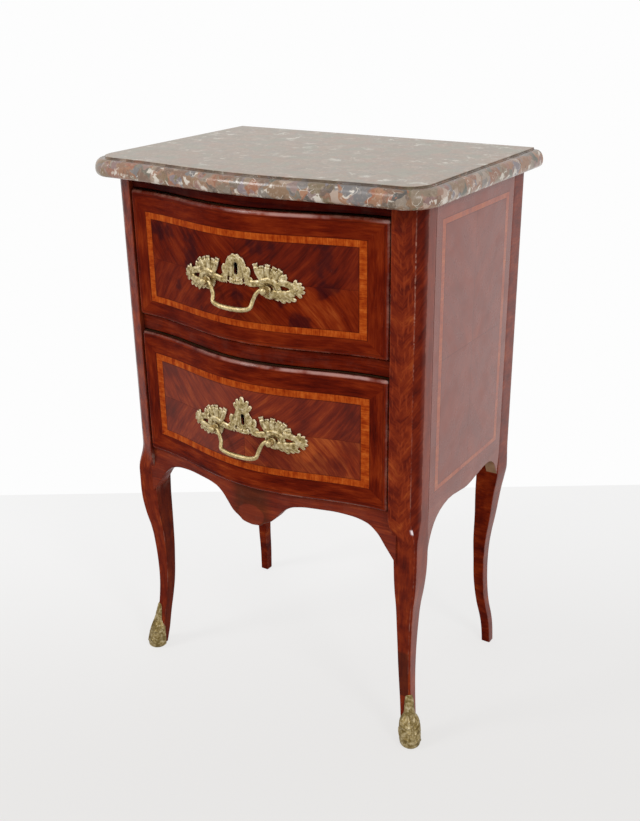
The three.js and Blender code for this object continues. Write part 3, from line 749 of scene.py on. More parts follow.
    def band(self, graph: Graph, here: Value, along: Value, across: Value) -> Value:
        """Cross-grained orange strips, each a little different from the next.

        Args:
            graph: The material's tree.
            here: The place on the piece in millimetres.
            along: Distance along the band.
            across: Distance across it.

        Returns:
            The band's colour.
        """
        leaf = graph.noise(graph.vector(along * 0.028, self.seed, 0.0), 1.0, 2.0, 0.6)
        piece = graph.noise(graph.vector(along * 0.12, self.seed + 5.0, 0.0), 1.0, 1.0)
        cross = graph.noise(graph.vector(along * 0.62, across * 0.06, self.seed), 1.0, 2.0, 0.6)
        blot = graph.noise(here, 0.16, 3.0, 0.6)
        figure = leaf * 0.55 + piece * 0.4 + cross * 0.5 + blot * 0.5 - 0.5 + self.band_tone
        colour = graph.ramp(figure, TULIPWOOD_STOPS)
        return graph.tint(self.haze_and_sheen, colour, HAZE_AND_SHEEN) if self.haze_and_sheen else colour

    @staticmethod
    def stringing(graph: Graph, past: Value) -> Value:
        """Thin dark lines along both edges of the band.

        Args:
            graph: The material's tree.
            past: The place across the band, 0 at its inner edge and 1 at its outer one.

        Returns:
            The lines' strength.
        """
        inner = graph.rise(abs(past + 0.06), 0.12, 0.03)
        outer = graph.rise(abs(past - 1.06), 0.12, 0.03)
        return graph.most(inner, outer) * 0.45


@dataclass(frozen=True)
class BoardVeneer(Veneer):
    """Veneer with its grain along a rail or an apron."""

    dark_middle: float = 0.0
    pendant_foot: float = 0.0
    shield_across: float = 20.0
    shield_up: float = 15.0

    def paint(self, graph: Graph) -> Look:
        """Draws streaks along the board, and a darker middle where there is one.

        Args:
            graph: The material's tree.

        Returns:
            The finish's look.
        """
        here = graph.place()
        x, _, z = graph.axes(here)
        figure = self.figure(graph, z * 1.6, x * 0.8, self.seed)
        colour = self.wood(graph, figure)
        if self.dark_middle:
            pendant = graph.rise(abs(x), self.dark_middle, self.dark_middle * 0.45)
            aside = abs(x) / self.shield_across
            upward = (z - (self.pendant_foot + self.shield_up)) / self.shield_up
            wavy = graph.noise(here, 0.05, 3.0, 0.6) * 0.5
            shield = graph.rise(aside * aside + upward * upward + wavy, 1.45, 1.05)
            around = pendant * (1.0 - shield) * 0.62
            colour = graph.coats(colour, (around, (66, 38, 24)), (shield * 0.5, (122, 54, 36)))
        colour = self.marks(graph, colour, here, 0.06)
        relief, dullness = self.surface(graph, here, figure)
        return Look(colour, relief, dullness)


@dataclass(frozen=True)
class Facets:
    """Where a leg's finish is read: its place on the grain, and 1 on each of its facets."""

    across: Value
    along: Value
    front: Value
    canted: Value
    inner: Value
    post: Value


@dataclass(frozen=True)
class LegVeneer(Veneer):
    """Veneer of the posts and legs, drawn from the facets that their meshes carry.

    Facets: 0 looks back, 1 looks out, 2 is the canted one, 3 looks forward and 4 looks in.
    """

    knee_height: float = 300.0
    side_haze_and_sheen: float = 0.0
    front_facet: float = 3.0
    is_cross_grained: bool = False
    dark_low: float = 0.0
    dark_high: float = 0.0
    glint_height: float = 0.0

    def paint(self, graph: Graph) -> Look:
        """Draws a chevron on the front facet, slanted veneer on the canted one, and plain legs.

        Args:
            graph: The material's tree.

        Returns:
            The finish's look.
        """
        here = graph.place()
        facet = graph.attribute("facet")
        along_uv = graph.node("ShaderNodeUVMap", {"uv_map": "grain"})
        across, along, _ = graph.axes(graph.scaled(along_uv, 1 / MM))
        numbers = (self.front_facet, 2.0, 1.0, 0.0, 4.0)
        front, canted, outward, back, inner = (self.faces(graph, facet, number) for number in numbers)
        post = graph.rise(along, self.knee_height - 25.0, self.knee_height + 12.0)
        wander = (graph.noise(here, 0.05, 3.0, 0.6) - 0.5) * 16.0
        chevron = along - abs(across) * 1.25 + wander
        slanted = along + across * 1.5 + wander
        tilted = graph.blend(canted, chevron, slanted)
        patterned = graph.most(front, canted) * post
        matched = self.figure(graph, tilted * 1.5, across * 2.0, self.seed + 1.3)
        if self.is_cross_grained:
            plain = self.figure(graph, along * 1.3, across * 2.0, self.seed)
        else:
            plain = self.figure(graph, across * 1.5 + along * 0.06, along, self.seed)
        patch = (graph.noise(here, 0.035, 3.0, 0.6) - 0.5) * 0.6
        figure = graph.blend(patterned, plain, matched) + patch
        figure = figure - canted * post * 0.09 - front * (1.0 - post) * 0.03
        colour = self.wood(graph, figure)
        # Painted sheen: the outward and back facets, and the canted one near the side, turn paler as if
        # reflecting the room, with old varnish's haze.
        haze_and_sheen_share = graph.most(outward * self.side_haze_and_sheen, back * 0.15)
        haze_and_sheen_share = graph.most(haze_and_sheen_share, canted * graph.rise(across, -1.0, -8.0) * post * 0.2)
        colour = graph.tint(haze_and_sheen_share, colour, HAZE_AND_SHEEN)
        arris = graph.rise(graph.attribute("arris"), 0.5, 0.95)
        colour = self.marks(graph, colour, here, arris * 0.8)
        if self.glint_height:
            colour = self.wear(graph, colour, here, Facets(across, along, front, canted, inner, post))
        relief, dullness = self.surface(graph, here, figure)
        return Look(colour, relief, dullness, outward * 0.35)

    def wear(self, graph: Graph, colour: Value, here: Value, on: Facets) -> Value:
        """Lays the marks of age over a front leg, and a painted glint at the right leg's knee.

        Args:
            graph: The material's tree.
            colour: The veneer's colour.
            here: The place on the piece in millimetres.
            on: The place on the leg and its facets.

        Returns:
            The aged colour.
        """
        right_leg = graph.over(graph.axes(here)[0], 0.0)
        left_inner = (1.0 - right_leg) * on.inner
        stretch = graph.rise(on.along, self.dark_high, self.dark_high - 6.0)
        stretch = stretch * graph.over(on.along, self.dark_low)
        streaks = graph.vector(on.across * 0.35, on.along * 0.05, 0.0)
        glow = graph.patches(streaks, (1.0, 3.0), 0.52, 0.66) * on.front * on.post
        worn_knee = graph.rise(on.along, 345.0, 325.0) * graph.rise(on.along, 262.0, 300.0)
        worn_knee = worn_knee * graph.patches(here, (0.09, 3.0, 0.6), 0.4, 0.6)
        meeting = on.canted * graph.over(on.across, 0.0) + on.front * graph.over(0.0, on.across)
        arris = graph.attribute("arris")
        dotted = graph.patches(here, (0.17, 3.0, 0.7), 0.47, 0.57)
        dotted = dotted * (0.25 + graph.rise(on.along, 480.0, 580.0) * 0.75)
        dotted = dotted * graph.patches(here, (0.03, 2.0), 0.42, 0.54)
        worn = graph.rise(arris, 0.45, 0.9) * meeting * on.post * dotted
        # Painted highlight: a near-white glint on the right leg's arris at the knee.
        painted_knee_glint = graph.rise(abs(on.along - self.glint_height), 3.8, 1.4) * right_leg
        return graph.coats(
            colour,
            (on.front * stretch * right_leg * 0.6, BARE_BROWN),
            (left_inner * 0.35, BARE_BROWN),
            (glow * 0.45, (158, 66, 34)),
            (worn_knee * left_inner * 0.55, (156, 132, 122)),
            (worn * 0.4, (204, 150, 130)),
            (painted_knee_glint * graph.rise(arris, 0.25, 0.7) * meeting, (250, 236, 238)),
        )

    @staticmethod
    def faces(graph: Graph, facet: Value, number: float) -> Value:
        """1 on the facets of one number."""
        return graph.over(facet, number - 0.5) * graph.over(number + 0.5, facet)


@dataclass(frozen=True)
class Breccia(Finish):
    """Polished breccia: broken pieces of many colours, with pale veins, and a top face washed paler by dust
    and by a painted sheen.
    """

    gloss_roughness: float = 0.16
    roughness_swing: float = 0.14
    specular: float = 0.4
    relief: float = 0.00008
    top: float = 740.0
    quirk: float = 2.4

    def paint(self, graph: Graph) -> Look:
        """Draws large and small fragments, veins and spots.

        Args:
            graph: The material's tree.

        Returns:
            The finish's look.
        """
        here = graph.place()
        x, _, height = graph.axes(here)
        sockets = {"Vector": here, "Scale": 0.06, "Detail": 2.0}
        drift = graph.node("ShaderNodeTexNoise", sockets=sockets, output="Color")
        bent = graph.shifted(here, graph.scaled(graph.shifted(drift, (-0.5, -0.5, -0.5)), 20.0))
        large = graph.ramp(self.fragments(graph, bent, 0.034), MARBLE_GROUND_STOPS)
        small = graph.ramp(self.fragments(graph, bent, 0.078), MARBLE_PIECE_STOPS)
        colour = graph.tint(graph.patches(bent, (0.04, 2.0, 0.6), 0.46, 0.52), large, small)
        cloud = graph.noise(here, 0.24, 4.0, 0.65)
        colour = graph.coats(
            colour,
            (graph.rise(cloud, 0.5, 0.7) * 0.35, (196, 178, 160)),
            (graph.patches(bent, (0.2, 3.0, 0.6), 0.6, 0.68) * 0.5, (84, 70, 56)),
            (self.calcite_and_highlight(graph, bent, height), (232, 224, 212)),
            (graph.rise(x, -190.0, -232.0) * 0.6, (138, 128, 104)),
        )
        face = graph.rise(height, self.top - self.quirk * 0.25, self.top - 0.05)
        # The top face is washed paler: partly dust, partly a painted sheen of reflected light.
        colour = graph.tint(face * 0.72, colour, graph.ramp(cloud, MARBLE_DUST_AND_SHEEN_STOPS))
        gathered = graph.patches(here, (0.011, 2.0, 0.5), 0.46, 0.58) * face
        sunk = graph.rise(height, self.top - self.quirk * 1.5, self.top - self.quirk) - face
        broken = 0.35 + graph.patches(here, (0.06, 3.0, 0.6), 0.4, 0.6) * 0.4
        colour = graph.coats(
            colour,
            (graph.patches(bent, (0.05, 5.0, 0.66), 0.55, 0.62) * gathered * 0.75, (216, 212, 198)),
            (graph.patches(bent, (0.032, 4.0, 0.62), 0.5, 0.38) * face * 0.6, (142, 140, 120)),
            (graph.patches(bent, (0.03, 4.0, 0.62), 0.53, 0.62) * face * 0.4, (164, 128, 106)),
            (graph.most(sunk, 0.0) * broken, (84, 64, 46)),
        )
        dullness = graph.patches(here, (0.05, 4.0, 0.7), 0.35, 0.7)
        return Look(colour, graph.noise(here, 0.5, 3.0), graph.most(dullness, face))

    @staticmethod
    def fragments(graph: Graph, bent: Value, scale: float) -> Value:
        """A random value for each broken piece.

        Args:
            graph: The material's tree.
            bent: The bent place that the pieces are read from.
            scale: How small the pieces are.

        Returns:
            The piece's value.
        """
        settings = {"feature": "F1", "distance": "EUCLIDEAN"}
        sockets = {"Vector": bent, "Scale": scale, "Randomness": 1.0}
        cell = graph.node("ShaderNodeTexVoronoi", settings, sockets, "Color")
        return graph.axes(cell)[0]

    def calcite_and_highlight(self, graph: Graph, bent: Value, height: Value) -> Value:
        """White threads between some of the pieces, and white streaks low on the nose that are a painted
        highlight.

        Args:
            graph: The material's tree.
            bent: The bent place that the pieces are read from.
            height: The height in millimetres.

        Returns:
            The threads' strength.
        """
        settings = {"feature": "DISTANCE_TO_EDGE"}
        sockets = {"Vector": bent, "Scale": 0.07}
        threads = graph.node("ShaderNodeTexVoronoi", settings, sockets, "Distance")
        threads = graph.rise(threads, 0.035, 0.0) * graph.patches(bent, (0.05, 2.0), 0.54, 0.62)
        # Painted highlight: more white streaks low on the nose.
        low = graph.rise(height, self.top - 11.0, self.top - 17.0)
        patches = graph.noise(bent, 0.075, 3.0, 0.6) + low * 0.09
        return graph.most(threads, graph.rise(patches, 0.62, 0.7)) * 0.8


@dataclass(frozen=True)
class GiltBronze(Finish):
    """Old gilding: pale yellow on the high places, burnished and with a painted highlight, brown in the
    hollows.
    """

    gloss_roughness: float = 0.34
    roughness_swing: float = 0.25
    metallic: float = 1.0
    relief: float = 0.00035
    soot: float = 0.3
    patina: float = 1.0
    depth: float = 1.0
    dusk: float = 0.0

    def paint(self, graph: Graph) -> Look:
        """Draws the gilding from the crests and hollows that the mesh carries.

        Args:
            graph: The material's tree.

        Returns:
            The finish's look.
        """
        here = graph.place()
        crest = graph.attribute("crest")
        mottle = (graph.noise(here, 0.22, 4.0, 0.65) - 0.5) * self.patina + 0.5
        # Burnish and painted highlight: the crests turn near white.
        burnish_and_highlight = graph.rise(crest + (mottle - 0.5) * 0.3, 0.55, 0.85)
        hollow = graph.rise(crest + (mottle - 0.5) * 0.35, 0.52, 0.2)
        tarnish = graph.patches(here, (0.12, 3.0, 0.6), 0.46, 0.62)
        colour = graph.coats(
            graph.ramp(mottle, GILT_STOPS),
            (self.dusk, DULL_BRASS),
            (burnish_and_highlight * 0.6 * self.depth, (246, 234, 210)),
            (hollow * 0.9 * self.depth, (78, 54, 26)),
            (tarnish * self.soot, DULL_BRASS),
        )
        height = graph.noise(here, 0.7, 3.0, 0.6) * 0.7 + graph.noise(here, 0.2, 2.0) * 0.6
        return Look(colour, height, graph.most(hollow, mottle))


@dataclass(frozen=True)
class Iron(Finish):
    """Dark iron of the locks, with a little rust."""

    gloss_roughness: float = 0.42
    roughness_swing: float = 0.3
    metallic: float = 0.4

    def paint(self, graph: Graph) -> Look:
        """Draws filed iron with brown patches.

        Args:
            graph: The material's tree.

        Returns:
            The finish's look.
        """
        here = graph.place()
        patches = graph.noise(here, 0.12, 4.0, 0.65)
        strokes = [axis * share for axis, share in zip(graph.axes(here), (0.1, 1.0, 2.0))]
        filed = graph.noise(graph.vector(*strokes), 1.0)
        iron = graph.tint(filed, linear(34, 30, 28), linear(58, 52, 48))
        rust = graph.rise(patches, 0.52, 0.66)
        return Look(graph.coats(iron, (rust * 0.6, (70, 42, 26))), filed, patches)


# Meshes


def round_turn(count: int) -> np.ndarray:
    """Evenly spaced angles once round."""
    return np.linspace(0.0, 2 * math.pi, count, endpoint=False)


class Draft:
    """A mesh in the making: points and faces, put together from rings, boxes and rods."""

    def __init__(self) -> None:
        """Starts empty."""
        self.points: list[Vector] = []
        self.faces: list[tuple[int, ...]] = []

    def skin(self, rings: Sequence[Sequence[Vector]]) -> "Draft":
        """Joins rings of equally many points into a tube with closed ends.

        Args:
            rings: Closed rings, each a list of points.

        Returns:
            The draft itself.
        """
        start = len(self.points)
        count = len(rings[0])
        for ring in rings:
            self.points.extend(ring)
        for level in range(len(rings) - 1):
            low = start + level * count
            for at in range(count):
                after = (at + 1) % count
                self.faces.append((low + at, low + after, low + count + after, low + count + at))
        last = start + (len(rings) - 1) * count
        self.faces.append(tuple(range(start + count - 1, start - 1, -1)))
        self.faces.append(tuple(range(last, last + count)))
        return self

    def box(self, low: Vertex, high: Vertex) -> "Draft":
        """Adds a box between two corners.

        Args:
            low: The low corner.
            high: The high corner.

        Returns:
            The draft itself.
        """
        corners = [(low[0], low[1]), (high[0], low[1]), (high[0], high[1]), (low[0], high[1])]
        rings = [[Vector((x, y, z)) for x, y in corners] for z in (low[2], high[2])]
        return self.skin(rings)

    def turned(self, profile: Sequence[tuple[float, float]], x: float, z: float, sides: int) -> "Draft":
        """Adds a shape turned about a line along Y.

        Args:
            profile: Radius and Y of each ring, from the front to the back.
            x: Where the line lies.
            z: Its height.
            sides: How many sides the rings have.

        Returns:
            The draft itself.
        """
        circle = [(math.cos(turn), math.sin(turn)) for turn in round_turn(sides)]
        rings = [
            [Vector((x + radius * across, y, z + radius * up)) for across, up in circle]
            for radius, y in profile
        ]
        return self.skin(rings)

    def carried(self, outline: Sequence[tuple[float, float]], front: float, back: float) -> "Draft":
        """Adds an outline in X and Z, carried from one Y to another."""
        return self.skin([[Vector((x, y, z)) for x, z in outline] for y in (front, back)])

    def build(self, name: str, angle: float = SMOOTH_ANGLE) -> bpy.types.Object:
        """Makes the object, with its faces pointing outwards.

        Args:
            name: The object's name.
            angle: Edges sharper than this stay sharp.

        Returns:
            The new object.
        """
        mesh = bpy.data.meshes.new(name)
        mesh.from_pydata([point[:] for point in self.points], [], self.faces)
        shell = bmesh.new()
        shell.from_mesh(mesh)
        bmesh.ops.recalc_face_normals(shell, faces=shell.faces)
        shell.to_mesh(mesh)
        shell.free()
        return placed(name, smooth(mesh, angle))


def placed(name: str, data: bpy.types.ID) -> bpy.types.Object:
    """Puts a new object with the given data in the scene, at the origin.

    Args:
        name: The object's name.
        data: Its mesh, camera or light.

    Returns:
        The new object.
    """
    made = bpy.data.objects.new(name, data)
    bpy.context.scene.collection.objects.link(made)
    return made


def smooth(mesh: bpy.types.Mesh, angle: float) -> bpy.types.Mesh:
    """Shades a mesh smooth but for the edges sharper than the angle.

    Args:
        mesh: The mesh.
        angle: Edges sharper than this stay sharp.

    Returns:
        The same mesh.
    """
    mesh.shade_smooth()
    mesh.set_sharp_from_angle(angle=angle)
    return mesh


def settled(piece: bpy.types.Object, angle: float = SMOOTH_ANGLE) -> bpy.types.Object:
    """Turns what a piece's modifiers make into its own plain mesh.

    Args:
        piece: The object, with its modifiers.
        angle: Edges sharper than this stay sharp.

    Returns:
        The same object.
    """
    deps = bpy.context.evaluated_depsgraph_get()
    shown = piece.evaluated_get(deps)
    mesh = bpy.data.meshes.new_from_object(shown, preserve_all_data_layers=True, depsgraph=deps)
    piece.modifiers.clear()
    piece.data = smooth(mesh, angle)
    return piece


def cut(piece: bpy.types.Object, cutter: Union[Draft, bpy.types.Object]) -> None:
    """Takes one closed shape out of another.

    Args:
        piece: What is cut.
        cutter: What cuts it: a draft, or an object, which stays in the scene.
    """
    tool = cutter.build("cutter") if isinstance(cutter, Draft) else cutter
    change = piece.modifiers.new("cut", "BOOLEAN")
    change.operation = "DIFFERENCE"
    change.solver = "MANIFOLD"
    change.object = tool
    settled(piece)
    kept = [material for material in piece.data.materials if material is not None]
    piece.data.materials.clear()
    for material in kept[:1]:
        piece.data.materials.append(material)
    piece.data.polygons.foreach_set("material_index", [0] * len(piece.data.polygons))
    if tool is not cutter:
        bpy.data.objects.remove(tool)


def room(low: Vertex, high: Vertex) -> Draft:
    """A cutter that leaves a small gap round a box."""
    gap = Vector((SEAT_GAP,) * 3)
    return Draft().box(Vector(low) - gap, Vector(high) + gap)


def grown(
    name: str, tree: bpy.types.NodeTree, inputs: dict[str, object], base: bpy.types.Mesh
) -> bpy.types.Object:
    """Makes an object whose shape comes from a geometry tree.

    Args:
        name: The object's name.
        tree: The geometry tree.
        inputs: Values of its inputs, by name.
        base: The mesh that the tree starts from.

    Returns:
        The new object, with a plain mesh.
    """
    made = placed(name, base)
    change = made.modifiers.new(tree.name, "NODES")
    change.node_group = tree
    for item in tree.interface.items_tree:
        if item.item_type == "SOCKET" and item.in_out == "INPUT" and item.name in inputs:
            change[item.identifier] = inputs[item.name]
    return settled(made)


def dress(node: str, finish: Finish, edge: float = 0.0006) -> None:
    """Gives a solid of the frame softened edges and a finish.

    Args:
        node: The node's name.
        finish: Its finish.
        edge: How wide its edges are rounded.
    """
    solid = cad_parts[node]
    solid.modifiers.new("joined", "WELD").merge_threshold = MERGE_REACH
    flat = solid.modifiers.new("flat_faces", "DECIMATE")
    flat.decimate_type = "DISSOLVE"
    flat.angle_limit = FLAT_ANGLE
    bevel = solid.modifiers.new("soft_edges", "BEVEL")
    bevel.width = edge
    bevel.segments = 2
    bevel.limit_method = "ANGLE"
    bevel.angle_limit = BEVEL_ANGLE
    bevel.use_clamp_overlap = True
    bevel.harden_normals = False
    solid.data.materials.clear()
    solid.data.materials.append(finish.material())
    log.info("solid %s in %s", node, finish.name)


def seat(
    piece: bpy.types.Object,
    body: Body,
    nodes: Iterable[str],
    finish: Optional[Finish] = None,
) -> None:
    """Sets a finished piece on its body and hides the solids that it replaces.

    Args:
        piece: The finished object.
        body: The body that it rides on.
        nodes: The solids that it replaces.
        finish: Its finish, where it isn't on the piece yet.
    """
    if finish is not None:
        piece.data.materials.clear()
        piece.data.materials.append(finish.material())
    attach(piece, body.value)
    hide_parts(*nodes)
    log.info("piece %s on %s, %d faces", piece.name, body.value, len(piece.data.polygons))


def write_value(mesh: bpy.types.Mesh, name: str, values: Sequence[float], domain: str = "POINT") -> None:
    """Writes a number on each point or face of a mesh."""
    mesh.attributes.new(name, "FLOAT", domain).data.foreach_set("value", np.asarray(values, np.float32))


def crests(mesh: bpy.types.Mesh) -> None:
    """Writes on each point how far it stands out of its neighbours, as "crest" around one half.

    Args:
        mesh: A finely meshed casting.
    """
    count = len(mesh.vertices)
    points = np.empty(count * 3)
    mesh.vertices.foreach_get("co", points)
    points = points.reshape(-1, 3)
    normals = np.empty(count * 3, np.float32)
    mesh.vertex_normals.foreach_get("vector", normals)
    normals = normals.reshape(-1, 3)
    ends = np.empty(len(mesh.edges) * 2, np.int64)
    mesh.edges.foreach_get("vertices", ends)
    one, other = ends.reshape(-1, 2).T
    step = points[other] - points[one]
    length = np.maximum(np.linalg.norm(step, axis=1), 1e-9)
    total = np.bincount(one, minlength=count) + np.bincount(other, minlength=count)
    total = np.maximum(total, 1)
    falls = -np.einsum("ij,ij->i", step, normals[one]) / length
    falls_back = np.einsum("ij,ij->i", step, normals[other]) / length
    value = np.bincount(one, falls, count) + np.bincount(other, falls_back, count)
    value = value / total
    for _ in range(CREST_ROUNDS):
        spread = np.bincount(one, value[other], count) + np.bincount(other, value[one], count)
        value = (value + spread / total) / 2
    write_value(mesh, "crest", np.clip(0.5 + value / CREST_REACH, 0.0, 1.0))


def hermite(knots: np.ndarray, values: np.ndarray, bends: np.ndarray, at: np.ndarray) -> np.ndarray:
    """Reads the cubic curve with given values and slopes at its knots.

    Args:
        knots: Rising places.
        values: The value, or the point, at each.
        bends: The slope at each.
        at: Where the curve is read.

    Returns:
        The values there.
    """
    span = np.clip(np.searchsorted(knots, at, side="right") - 1, 0, len(knots) - 2)
    gap = knots[span + 1] - knots[span]
    share = (at - knots[span]) / gap
    if values.ndim > 1:
        gap, share = gap[:, None], share[:, None]
    square, cube = share**2, share**3
    return (
        (2 * cube - 3 * square + 1) * values[span]
        + (cube - 2 * square + share) * gap * bends[span]
        + (3 * square - 2 * cube) * values[span + 1]
        + (cube - square) * gap * bends[span + 1]
    )


def through(stations: np.ndarray, values: np.ndarray, at: np.ndarray) -> np.ndarray:
    """Reads a smooth curve through rising stations that never overshoots them.

    Args:
        stations: Rising places.
        values: The value at each.
        at: Where the curve is read.

    Returns:
        The values there.
    """
    slopes = np.diff(values) / np.diff(stations)
    same_way = slopes[:-1] * slopes[1:] > 0
    weights = np.where(same_way, slopes[:-1] * slopes[1:], 0.0)
    sums = np.where(same_way, slopes[:-1] + slopes[1:], 1.0)
    bends = np.concatenate([[slopes[0]], 2 * weights / sums, [slopes[-1]]])
    return hermite(stations, values, bends, at)


def path_through(points: Sequence[Vector], steps: int) -> list[Vector]:
    """A smooth line through points, evenly stepped along its length.

    Args:
        points: At least two points.
        steps: How many equal steps the line gets.

    Returns:
        The stepped points.
    """
    places = np.array([point[:] for point in points], float)
    steps_apart = np.sqrt(np.linalg.norm(np.diff(places, axis=0), axis=1))
    knots = np.concatenate([[0.0], np.cumsum(steps_apart)])
    fine = np.linspace(0.0, knots[-1], 24 * len(points))
    line = hermite(knots, places, np.gradient(places, knots, axis=0), fine)
    lengths = np.concatenate([[0.0], np.cumsum(np.linalg.norm(np.diff(line, axis=0), axis=1))])
    even = np.linspace(0.0, lengths[-1], steps + 1)
    return [Vector([np.interp(reach, lengths, line[:, axis]) for axis in range(3)]) for reach in even]


# Shapes that follow a rule


@dataclass(frozen=True)
class Bow:
    """The serpentine line of the front: it swells in the middle and dies out at the posts."""

    crown: float
    half_opening: float
    depth: float = 0.032

    @classmethod
    def of_frame(cls) -> "Bow":
        """Reads the line's crown and its ends from the frame."""
        return cls(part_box("upper_drawer_front")[0].y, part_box("front_leg_right")[0].x)

    def at(self, x: float, setback: float = 0.0) -> float:
        """The Y of the drawer faces."""
        turn = math.pi * min(1.0, abs(x) / self.half_opening)
        return self.crown + setback + self.depth * (1 - math.cos(turn)) / 2

    def drawn(self, graph: Graph, x: Value) -> Value:
        """The Y of the drawer faces in a finish, in millimetres."""
        sizes = {label: size / MM for label, size in self.inputs.items()}
        return self.line(graph, x, sizes)

    @staticmethod
    def line(graph: Graph, x: Value, sizes: dict[str, Number]) -> Value:
        """The same line as nodes, from sizes that are numbers or a tree's own inputs.

        Args:
            graph: The tree.
            x: Where the line is read.
            sizes: The line's sizes, by the names of a tree's inputs.

        Returns:
            The Y of the drawer faces, in the unit of the sizes.
        """
        share = graph.least(abs(x) / sizes["Half opening"], 1.0)
        fall = 1.0 - graph.maths("COSINE", share * math.pi)
        return sizes["Crown"] + sizes["Bow depth"] * fall * 0.5

    @property
    def inputs(self) -> dict[str, float]:
        """The inputs that a tree needs to draw the line."""
        return {"Crown": self.crown, "Half opening": self.half_opening, "Bow depth": self.depth}


BOW = Bow.of_frame()


def kinds(floats: Sequence[str] = (), whole: Sequence[str] = ()) -> dict[str, str]:
    """The kind of each input of a tree: floats, whole numbers, and always a material.

    Args:
        floats: The inputs that are plain numbers.
        whole: The inputs that are whole numbers.

    Returns:
        The socket kind of each input, by its name.
    """
    named = {label: "NodeSocketFloat" for label in floats}
    named.update({label: "NodeSocketInt" for label in whole})
    return {**named, "Material": "NodeSocketMaterial"}


class Trees:
    """The geometry trees, each built once."""

    RIM_STEPS = 6

    def __init__(self) -> None:
        """Builds the trees."""
        self.board = self._board()
        self.swept = self._swept()
        self.relief = self._relief()

    def _board(self) -> bpy.types.NodeTree:
        """A board that follows the serpentine line, with a rounded rim on its face.

        Returns:
            The tree.
        """
        floats = ("Half width", "Low", "High", "Setback", "Thickness", "Straight back", "Back plane", "Rim")
        inputs = kinds((*floats, *BOW.inputs), ("Columns", "Rows"))
        graph = Graph.of_shape("serpentine_board", inputs)
        given = graph.inputs
        sockets = {"Size": (2.0, 2.0, 2.0), 1: given["Columns"], 2: 2, 3: given["Rows"]}
        block = graph.node("GeometryNodeMeshCube", sockets=sockets)
        x, y, z = graph.axes(graph.node("GeometryNodeInputPosition"))
        across, fall_across = self._rimmed(graph, x, given["Columns"], given["Half width"])
        half_height = (given["High"] - given["Low"]) * 0.5
        height, fall_up = self._rimmed(graph, z, given["Rows"], half_height)
        line = BOW.line(graph, across, given) + given["Setback"]
        face = line + fall_across + fall_up
        back = graph.blend(given["Straight back"], line + given["Thickness"], given["Back plane"])
        depth = graph.blend(graph.over(y, 0.0), face, back)
        middle = (given["High"] + given["Low"]) * 0.5
        place = graph.vector(across, depth, height + middle)
        board = graph.node("GeometryNodeSetPosition", sockets={"Geometry": block, "Position": place})
        return graph.close_shape(board)

    def _rimmed(self, graph: Graph, share: Value, count: Value, half: Value) -> tuple[Value, Value]:
        """Spreads columns over a half width, with the last few round the rim.

        Args:
            graph: The tree.
            share: Place of the column, -1 to 1.
            count: How many columns there are.
            half: The half width.

        Returns:
            The column's place, and how far the rim falls back there.
        """
        rim = graph.inputs["Rim"]
        middle = (count - 1.0) * 0.5
        flat = middle - float(self.RIM_STEPS)
        step = abs(share) * middle
        turn = graph.maths("DIVIDE", step - flat, float(self.RIM_STEPS), clamp=True) * (math.pi / 2)
        reach = graph.least(step / flat, 1.0) * (half - rim) + graph.maths("SINE", turn) * rim
        sign = graph.maths("SIGN", share)
        return reach * sign, (1.0 - graph.maths("COSINE", turn)) * rim

    @staticmethod
    def _swept_tube(graph: Graph, sides: int, groove: Number) -> Value:
        """Rods along the lines of the given mesh, as thick as its "girth" says.

        Args:
            graph: The tree.
            sides: How many sides the rods have.
            groove: How deep their front is hollowed.

        Returns:
            The rods' geometry.
        """
        lines = graph.node("GeometryNodeMeshToCurve", sockets={"Mesh": graph.inputs["Geometry"]})
        girth = graph.carried("girth")
        sockets = {"Curve": lines, "Normal": (0, -1, 0)}
        aimed = graph.node("GeometryNodeSetCurveNormal", {"mode": "FREE"}, sockets)
        thick = graph.node("GeometryNodeSetCurveRadius", sockets={"Curve": aimed, "Radius": girth})
        sockets = {"Resolution": sides, "Radius": 1.0}
        circle = graph.node("GeometryNodeCurvePrimitiveCircle", sockets=sockets)
        x, y, z = graph.axes(graph.node("GeometryNodeInputPosition"))
        dent = graph.maths("POWER", graph.most(x, 0.0), 14.0) * groove
        hollow = graph.vector(x * (1.0 - dent), y, z)
        profile = graph.node("GeometryNodeSetPosition", sockets={"Geometry": circle, "Position": hollow})
        sockets = {"Curve": thick, "Profile Curve": profile, "Fill Caps": True, "Scale": girth}
        return graph.node("GeometryNodeCurveToMesh", sockets=sockets)

    def _swept(self) -> bpy.types.NodeTree:
        """Plain rods along lines."""
        graph = Graph.of_shape("swept_rods", kinds(whole=("Sides",)))
        return graph.close_shape(self._swept_tube(graph, graph.inputs["Sides"], 0.0))

    def _relief(self) -> bpy.types.NodeTree:
        """Leaves and scrolls drawn on the XZ plane, laid on the serpentine line as a low relief.

        Returns:
            The tree.
        """
        graph = Graph.of_shape("laid_foliage", kinds((*BOW.inputs, "Groove", "Gap"), ("Sides",)))
        tube = self._swept_tube(graph, graph.inputs["Sides"], graph.inputs["Groove"])
        x, y, z = graph.axes(graph.node("GeometryNodeInputPosition"))
        proud = graph.most(graph.carried("lift") - y * graph.carried("flat"), graph.inputs["Gap"])
        place = graph.vector(x, BOW.line(graph, x, graph.inputs) - proud, z)
        laid = graph.node("GeometryNodeSetPosition", sockets={"Geometry": tube, "Position": place})
        return graph.close_shape(laid)


